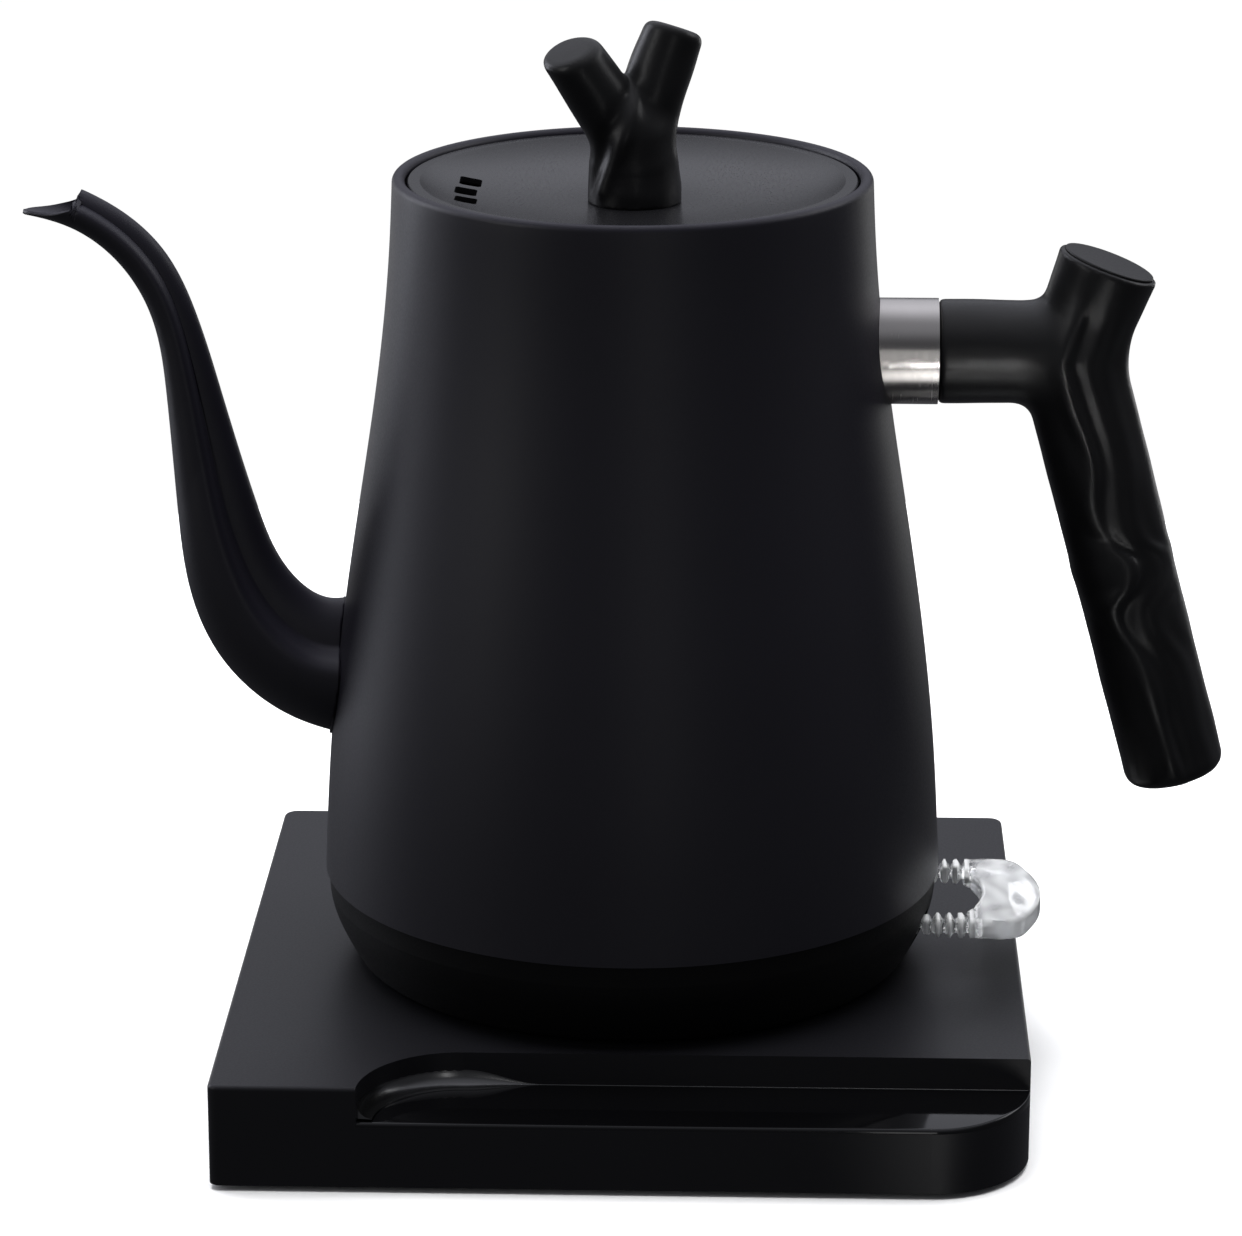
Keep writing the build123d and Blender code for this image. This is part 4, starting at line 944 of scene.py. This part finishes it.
@dataclass
class Knob:
    """The forked twig on the lid."""

    palette: Palette
    foot_z: float = 180.5
    voxel: float = 0.46
    ridge_turn: float = 0.085
    cut_depth: float = 0.7
    cut_facing: float = 0.9

    def limbs(self) -> list[Limb]:
        """Foot flare, trunk, left twig in front and right twig behind.

        Returns:
            The limbs in the order in which they melt together.
        """
        return [
            Limb((0.3, 0.0, 187.0), 8.4, (0.4, 0.0, self.foot_z), 9.3, 0.1, (0.0, 0.0, -1.0), 0.5),
            Limb((0.3, 0.0, 184.0), 8.7, (-0.1, -0.2, 194.0), 8.1, 2.0),
            Limb((-0.6, -1.2, 193.0), 6.9, (-12.6, -3.6, 211.4), 5.9, 1.8, (-0.34, -0.30, 0.9), 2.0),
            Limb((0.9, 1.2, 193.0), 6.9, (8.3, 3.0, 215.0), 6.0, 1.8, (0.30, 0.22, 0.93), 2.2),
        ]

    def distance(self, points: np.ndarray) -> np.ndarray:
        """The limbs melted together in order."""
        return melted(self.limbs(), points)

    def relief(self, points: np.ndarray) -> np.ndarray:
        """A ridge that twists from the fork down the right of the trunk, and slow waves.

        The ridge's angle grows evenly on the way down, and its section is a bell with a hollow beside it.

        Args:
            points: rows of x, y and z on the smooth twig.

        Returns:
            The height to add at each point.
        """
        height = points[:, 2]
        turn = np.arctan2(points[:, 1], points[:, 0] + 0.5)
        middle = -1.15 - self.ridge_turn * (205.0 - height) * 0.6
        away = np.angle(np.exp(1j * (turn - middle)))
        low = smoothstep(181.0, 184.0, height) * (1.0 - smoothstep(201.0, 207.0, height))
        ridge = 0.7 * np.exp(-(away / 0.22) ** 2) - 0.55 * np.exp(-((away + 0.42) / 0.2) ** 2)
        return low * ridge + 0.18 * waves(points, 13.0, 2.2) * smoothstep(181.0, 184.0, height)

    def build(self) -> None:
        """Make the twig; the cut faces wear the smoother finish."""
        rough = remeshed(joined([limb.tube() for limb in self.limbs()]), self.voxel)
        twig = make_mesh("twig_knob", skin(rough, self.distance, self.relief))
        make_piece("twig_knob", twig, self.palette["handle_plastic"], "lid",
                   ["lid_knob"], 70.0)
        twig.materials.append(self.palette["cap_plastic"])
        centre, normal = rows_of(twig.polygons, "center"), rows_of(twig.polygons, "normal")
        flat = np.zeros(len(centre), bool)
        for limb in self.limbs()[2:]:
            out = unit(limb.cut)
            depth = np.abs((centre - np.array(limb.end) * MM) @ out)
            flat |= (depth < self.cut_depth * MM) & (normal @ out > self.cut_facing)
        twig.polygons.foreach_set("material_index", flat.astype(np.int32))


@dataclass
class Lever:
    """The clear switch lever: two ribbed arms, a loop and a thick pad."""

    palette: Palette
    pivot_x: float = 44.0
    low: float = 31.0
    high: float = 34.3
    half_width: float = 17.4
    # Outside the skirt the lever grows over a short run of x: start, end, more half height, more half width.
    outside: tuple = (60.4, 62.4, 0.45, 1.1)
    arm: float = 3.8
    shoulder_x: float = 80.2
    tip_x: float = 85.0
    hole_corner_x: float = 69.0
    hole_x: float = 72.8
    hub_radius: float = 3.0
    bore_radius: float = 1.27
    rib_pitch: float = 2.35
    ribs: tuple = (58.5, 70.5)
    voxel: float = 0.4

    def plan(self, x: np.ndarray, y: np.ndarray) -> np.ndarray:
        """Distance to the outline from above: a round-nosed bar less a long hole that opens at the pivot.

        Nose and hole both end in a parabola, x = corner + bulge (1 - (y / half width)^2).

        Args:
            x: distance along the lever.
            y: distance across it.

        Returns:
            One distance for each place, below 0 inside.
        """
        bulge = (self.tip_x - self.shoulder_x) * (1.0 - (y / self.half_width) ** 2)
        nose = x - (self.shoulder_x + bulge)
        start, end, _, wider = self.outside
        outer = carve(np.abs(y) - self.half_width - wider * smoothstep(start, end, x), nose, 3.5)
        outer = carve(outer, self.pivot_x - 1.0 - x, 0.5)
        hole_end = self.hole_corner_x + (self.hole_x - self.hole_corner_x) * (
            1.0 - (y / (self.half_width - self.arm)) ** 2)
        hole = carve(np.abs(y) - (self.half_width - self.arm), x - hole_end, 2.0)
        return carve(outer, -hole, 0.4)

    def comb(self, x: np.ndarray) -> np.ndarray:
        """0 on the crest of a rib, 1 half way to the next: (1 - cos(2 pi x / pitch)) / 2."""
        return 0.5 - 0.5 * np.cos(2.0 * np.pi * (x - self.ribs[0]) / self.rib_pitch)

    def painted_highlight(self, points: np.ndarray) -> np.ndarray:
        """How much painted highlight whitens the acrylic: rib crests and swirls over the pad get it, the
        grooves and the hubs stay clear.

        Args:
            points: rows of x, y and z.

        Returns:
            0 for clear to 1 for full painted highlight, for each point.
        """
        x, y, _ = points.T
        on_ribs = smoothstep(self.ribs[0] - 0.6, self.ribs[0], x) * (1.0 - smoothstep(70.0, 71.5, x))
        crest = on_ribs * (1.0 - smoothstep(0.35, 0.6, self.comb(x)))
        # Swirl lines of painted reflection over the pad.
        swirl = 0.5 + 0.5 * np.sin(0.9 * x + 1.6 * np.sin(y / 3.4)) * np.cos(y / 2.9 + 0.3 * x)
        pad = smoothstep(70.5, 73.5, x) * (0.35 + 0.4 * swirl)
        return np.clip(crest + pad, 0.0, 1.0)

    def distance(self, points: np.ndarray) -> np.ndarray:
        """The outline thickened, with ribs on the arms, a dished pad, and a bored hub on each arm.

        Args:
            points: rows of x, y and z.

        Returns:
            One distance for each point, below 0 inside.
        """
        x, y, z = points.T
        middle = (self.low + self.high) / 2.0
        first, last = self.ribs
        on_ribs = smoothstep(first - 0.6, first, x) * (1.0 - smoothstep(last, last + 0.6, x))
        groove = on_ribs * smoothstep(0.42, 0.62, self.comb(x))
        start, end, taller, _ = self.outside
        thicker = taller * smoothstep(start, end, x)
        dish = 0.6 * np.exp(-((x - 78.4) / 2.6) ** 2 - (y / 9.0) ** 2)
        lens = 0.35 * np.cos(y / 2.6) * smoothstep(73.5, 75.5, x) * (1.0 - smoothstep(81.0, 83.0, x))
        top = np.abs(z - middle) - ((self.high - self.low) / 2.0 + thicker - groove - dish) - 0.5 * lens
        body = carve(self.plan(x, y) + 0.7 * groove, top, 0.7)
        from_pin = np.hypot(x - self.pivot_x, z - middle)
        from_arm = np.abs(np.abs(y) - (self.half_width - self.arm / 2)) - self.arm / 2
        hub = carve(from_pin - self.hub_radius, from_arm, 0.6)
        return carve(melt(body, hub, 0.6), self.bore_radius - from_pin, 0.2)

    def build(self) -> None:
        """Make the lever from a remeshed copy of its CAD solid, drawn onto the finer shape."""
        rough = remeshed(surface_of(frame["nodes"]["switch_lever"].data), self.voxel)
        drawn = skin(rough, self.distance, lambda points: 0.0 * points[:, 0], 8)
        clear = make_mesh("clear_lever", drawn)
        # The bright bars on the rib crests and the swirls on the pad are painted highlights, kept as a point
        # attribute.
        layer = clear.attributes.new("painted_highlight", "FLOAT", "POINT")
        painted_highlight_amount = self.painted_highlight(rows_of(clear.vertices, "co") / MM)
        layer.data.foreach_set("value", painted_highlight_amount.astype(np.float32))
        make_piece("clear_lever", clear, self.palette["clear_plastic"], "lever",
                   ["switch_lever"], 60.0)


@dataclass
class Ledge:
    """The gloss inlay on the base's front ledge, falling to its front, and the cove at the wall's foot."""

    palette: Palette
    start_x: float = -51.5
    wall_y: float = -61.5
    front_y: float = -80.5
    end_x: float = 80.5
    corner: float = 20.0
    curve: float = 20.0
    top: float = 15.3
    seat: float = 13.8
    edge: float = 0.8
    lift: float = -0.7
    lift_from: float = 8.5
    # The cove's radius on the curved start and on the straight run, and the x between which it fades.
    cove: tuple = (3.0, 0.1)
    cove_fades: tuple = (-31.0, -16.0)

    def columns(self) -> np.ndarray:
        """Places along the ledge, closer together on the curved start and the round corner.

        Both ends are spaced as 1 - cos a, so that steps along the quarter circles stay even.

        Returns:
            The x of each place.
        """
        start = self.start_x + 0.05 + self.curve * (1.0 - np.cos(np.linspace(0.0, np.pi / 2, 40)))
        end = self.end_x - 0.05 - self.corner * (1.0 - np.cos(np.linspace(np.pi / 2, 0.0, 40)))
        return np.concatenate([start, np.linspace(start[-1], end[0], 90)[1:-1], end])

    def rear(self, x: np.ndarray) -> np.ndarray:
        """The ledge's rear edge: a quarter circle y = sqrt(r^2 - x^2), then the straight wall."""
        away = np.clip(self.start_x + self.curve - x, 0.0, self.curve)
        return self.wall_y - self.curve + np.sqrt(self.curve ** 2 - away ** 2) - 0.05

    def front(self, x: np.ndarray) -> np.ndarray:
        """The ledge's front edge: straight, then round the base's large corner."""
        away = np.clip(x - (self.end_x - self.corner), 0.0, self.corner)
        return self.front_y + self.corner - np.sqrt(self.corner ** 2 - away ** 2)

    def panel_surface(self) -> Surface:
        """The inlay: z = top + lift s(d) for a distance d from the wall, rounded over at the front edge.

        Returns:
            The closed inlay, with a flat underside on its seat.
        """
        x = self.columns()
        rear = self.rear(x)[:, None]
        front = np.minimum(self.front(x)[:, None], rear - 0.02)
        rounding = 0.93 + 0.07 * np.sin(np.linspace(0.0, np.pi / 2, 9))
        share = np.concatenate([np.linspace(0.0, 0.93, 34), rounding[1:]])
        y = rear + (front - rear) * share
        depth = self.wall_y - y
        run = 2.0 * (self.wall_y - self.front_y - self.lift_from)
        rise = self.lift * smoothstep(0.0, 1.0, (depth - self.lift_from) / run) * 2.0
        short = np.clip(self.edge - (y - front), 0.0, self.edge)
        z = self.top + rise - (self.edge - np.sqrt(self.edge ** 2 - short ** 2))
        upper = np.stack([np.broadcast_to(x[:, None], y.shape), y, z], axis=-1)
        lower = upper[:, ::-1].copy()
        lower[..., 2] = self.seat
        panel = grid(np.concatenate([upper, lower], axis=1), round_v=True)
        panel.faces += end_caps(len(x), 2 * y.shape[1])
        return panel

    def cove_surface(self) -> Surface:
        """A quarter-round strip along the foot of the wall; its radius shrinks where the wall runs straight.

        The section is r (1 - sin a) out from the wall and r (1 - cos a) up, carried along the rear edge.

        Returns:
            The closed strip.
        """
        x = self.columns()
        path = np.stack([x, self.rear(x) + 0.05], axis=1)
        path = path[(path[:, 1] > self.front_y + 0.7) & (path[:, 0] < self.end_x - 0.4)]
        along = np.gradient(path, axis=0)
        along /= np.linalg.norm(along, axis=1)[:, None]
        away = np.stack([along[:, 1], -along[:, 0]], axis=1)
        fade = smoothstep(*self.cove_fades, path[:, 0])[:, None]
        radius = self.cove[0] + (self.cove[1] - self.cove[0]) * fade
        sweep = np.radians(np.linspace(0.0, 90.0, 11))
        reach = radius * (1.0 - np.sin(sweep))
        rise = radius * (1.0 - np.cos(sweep))
        back, foot = np.full_like(radius, -0.05), np.full_like(radius, -0.1)
        reach = np.concatenate([reach, back, back, radius], axis=1)
        rise = np.concatenate([rise, radius, foot, foot], axis=1)
        points = np.concatenate([
            path[:, None, :] + away[:, None, :] * reach[:, :, None], (self.top + rise)[:, :, None],
        ], axis=2)
        strip = grid(points, round_v=True)
        strip.faces += end_caps(len(path), reach.shape[1])
        return strip

    def build(self) -> None:
        """Make the inlay and its cove."""
        inlay = make_mesh("ledge_inlay", self.panel_surface())
        make_piece("ledge_inlay", inlay, self.palette["gloss_panel"],
                   "power_base", ["ledge_panel"], 50.0)
        cove = make_mesh("ledge_cove", self.cove_surface())
        make_piece("ledge_cove", cove, self.palette["gloss_edge"], "power_base", (), 50.0)


@dataclass(frozen=True)
class Softbox:
    """A rectangular area light, aimed at a point; an unmirrored one lights but isn't reflected.

    Sizes are in millimetres, the power in watts and the angle of the beam in degrees.
    """

    name: str
    place: Point
    size: tuple[float, float]
    watts: float
    colour: str = "#ffffff"
    aim_at: Point = (0.0, 0.0, 100.0)
    mirrored: bool = True
    spread: float = 180.0

    def hang(self) -> None:
        """Put the light in the scene, hidden from the camera."""
        light = bpy.data.lights.new(self.name, "AREA")
        light.shape, light.size, light.size_y = "RECTANGLE", self.size[0] * MM, self.size[1] * MM
        light.energy, light.color, light.spread = self.watts, linear(self.colour)[:3], np.radians(self.spread)
        holder = bpy.data.objects.new(self.name, light)
        holder.location = Vector(self.place) * MM
        aim = Vector(self.aim_at) * MM - holder.location
        holder.visible_glossy = self.mirrored
        holder.visible_camera = False
        holder.rotation_euler = aim.to_track_quat("-Z", "Y").to_euler()
        bpy.context.scene.collection.objects.link(holder)
        log.info("light %s: %g W", self.name, self.watts)


COLLAR = (74.0, 0.0, 150.0)


@dataclass
class Studio:
    """A pale floor, soft lights and the camera."""

    camera_place: Point = (28.09, -966.01, 394.67)
    looks_along: Point = (-0.030058, 0.954131, -0.297878)
    lens_mm: float = 143.05
    sensor_mm: float = 36.0
    dim_light: float = 0.075
    rear_light: float = 0.66
    top_light: float = 0.2
    floor_radius: float = 420.0
    floor_sides: int = 96
    # The last three are small cards that put the bands on the collar and a glint on the handle's root.
    softboxes: tuple = (
        Softbox("overhead", (0.0, 150.0, 1350.0), (1500.0, 1200.0), 41.0, mirrored=False),
        Softbox("left", (-950.0, 520.0, 330.0), (500.0, 900.0), 4.2, "#f2f4ff"),
        Softbox("left_front", (-900.0, -550.0, 500.0), (300.0, 700.0), 1.4),
        Softbox("right_high", (950.0, 300.0, 720.0), (700.0, 500.0), 1.5),
        Softbox("right_rear", (620.0, 1000.0, 60.0), (350.0, 400.0), 0.5),
        Softbox("left_rear", (-560.0, 1050.0, 60.0), (300.0, 400.0), 0.3),
        Softbox("low_card", (85.0, -175.0, 4.0), (50.0, 120.0), 0.0036, aim_at=COLLAR, spread=44.0),
        Softbox("front_card", (88.0, -500.0, 150.0), (60.0, 280.0), 0.055, aim_at=COLLAR),
        Softbox("root_glint", (98.0, -260.0, 70.0), (10.0, 24.0), 0.0006, aim_at=COLLAR, spread=14.0),
    )

    def world(self) -> None:
        """Soft light from all round, stronger behind and above; the backdrop itself is seen as white paper.

        Strength = dim + s(Y) s(Z) rear + s(Z) top, where s is a smooth step on the direction looked in.
        """
        world = bpy.data.worlds.new("studio")
        world.use_nodes = True
        bpy.context.scene.world = world
        tree = world.node_tree
        tree.nodes.clear()
        seen = add_node(tree, "ShaderNodeLightPath").outputs["Is Camera Ray"]
        towards = add_node(tree, "ShaderNodeTexCoord").outputs["Generated"]
        part = add_node(tree, "ShaderNodeSeparateXYZ", Vector=towards)
        backward, level, upward = [
            add_node(
                tree, "ShaderNodeMapRange", {"interpolation_type": "SMOOTHSTEP"}, Value=part.outputs[axis],
                From_Min=low, From_Max=high, To_Min=0.0, To_Max=strength,
            ).outputs["Result"]
            for axis, low, high, strength in (
                ("Y", -0.3, 0.6, 1.0),
                ("Z", 0.06, 0.48, self.rear_light),
                ("Z", 0.5, 0.95, self.top_light),
            )
        ]
        behind = add_node(tree, "ShaderNodeMath", {"operation": "MULTIPLY"}, i0=backward, i1=level)
        above = add_node(tree, "ShaderNodeMath", {"operation": "ADD"}, i0=upward, i1=self.dim_light)
        total = add_node(
            tree, "ShaderNodeMath", {"operation": "ADD"}, i0=behind.outputs[0], i1=above.outputs[0],
        )
        dim = add_node(tree, "ShaderNodeBackground", Color=linear("#f2f4ff"), Strength=total.outputs[0])
        white = add_node(tree, "ShaderNodeBackground", Color=(1.0, 1.0, 1.0, 1.0), Strength=1.02)
        mix = add_node(tree, "ShaderNodeMixShader", i0=seen, i1=dim.outputs[0], i2=white.outputs[0])
        add_node(tree, "ShaderNodeOutputWorld", Surface=mix.outputs[0])

    def floor(self) -> None:
        """A round sheet of pale matte paper."""
        finish = Finish("pale_paper", "#f5f5f5", "#f2f2f2", (0.8, 0.9), 0.8, 0.01)
        turn = np.linspace(0.0, 2.0 * np.pi, self.floor_sides, endpoint=False)
        ring = np.stack([np.cos(turn), np.sin(turn), 0.0 * turn], axis=1) * self.floor_radius
        mesh = bpy.data.meshes.new("paper_floor")
        mesh.from_pydata((ring * MM).tolist(), [], [list(range(self.floor_sides))])
        mesh.materials.append(finish.material())
        sheet = bpy.data.objects.new("paper_floor", mesh)
        bpy.context.scene.collection.objects.link(sheet)
        # The paper neither shows in reflections nor lights the kettle from below, as if the kettle
        # stood on a dark stand.
        sheet.visible_glossy = False
        sheet.visible_diffuse = False
        log.info("paper_floor: %g mm across", 2.0 * self.floor_radius)

    def camera(self) -> None:
        """The camera in front, a little above and to the right."""
        data = bpy.data.cameras.new("camera")
        data.lens, data.sensor_width = self.lens_mm, self.sensor_mm
        data.clip_start, data.clip_end = 0.01, 20.0
        holder = bpy.data.objects.new("camera", data)
        holder.location = Vector(self.camera_place) * MM
        holder.rotation_euler = Vector(self.looks_along).to_track_quat("-Z", "Y").to_euler()
        bpy.context.scene.collection.objects.link(holder)
        bpy.context.scene.camera = holder

    def build(self) -> None:
        """Set the whole studio up."""
        bpy.context.scene.view_settings.view_transform = "Standard"
        self.world()
        self.floor()
        self.camera()
        for softbox in self.softboxes:
            softbox.hang()


def node_slots(record: dict) -> dict[str, str]:
    """Which material slot each CAD node has in the record."""
    return {part["node"]: part["material_slot"] for part in record["subparts"]}


def main() -> None:
    """Build the studio, dress the CAD nodes and make the new pieces."""
    logging.basicConfig(level=logging.INFO, format="%(name)s: %(message)s")
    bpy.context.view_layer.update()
    palette = Palette()
    CarriedNodes(palette, node_slots(frame["record"])).dress()
    for part in (Vessel(palette), Handle(palette), Knob(palette), Lever(palette), Ledge(palette), Studio()):
        part.build()
    bpy.context.view_layer.update()


if __name__ == "__main__":
    main()
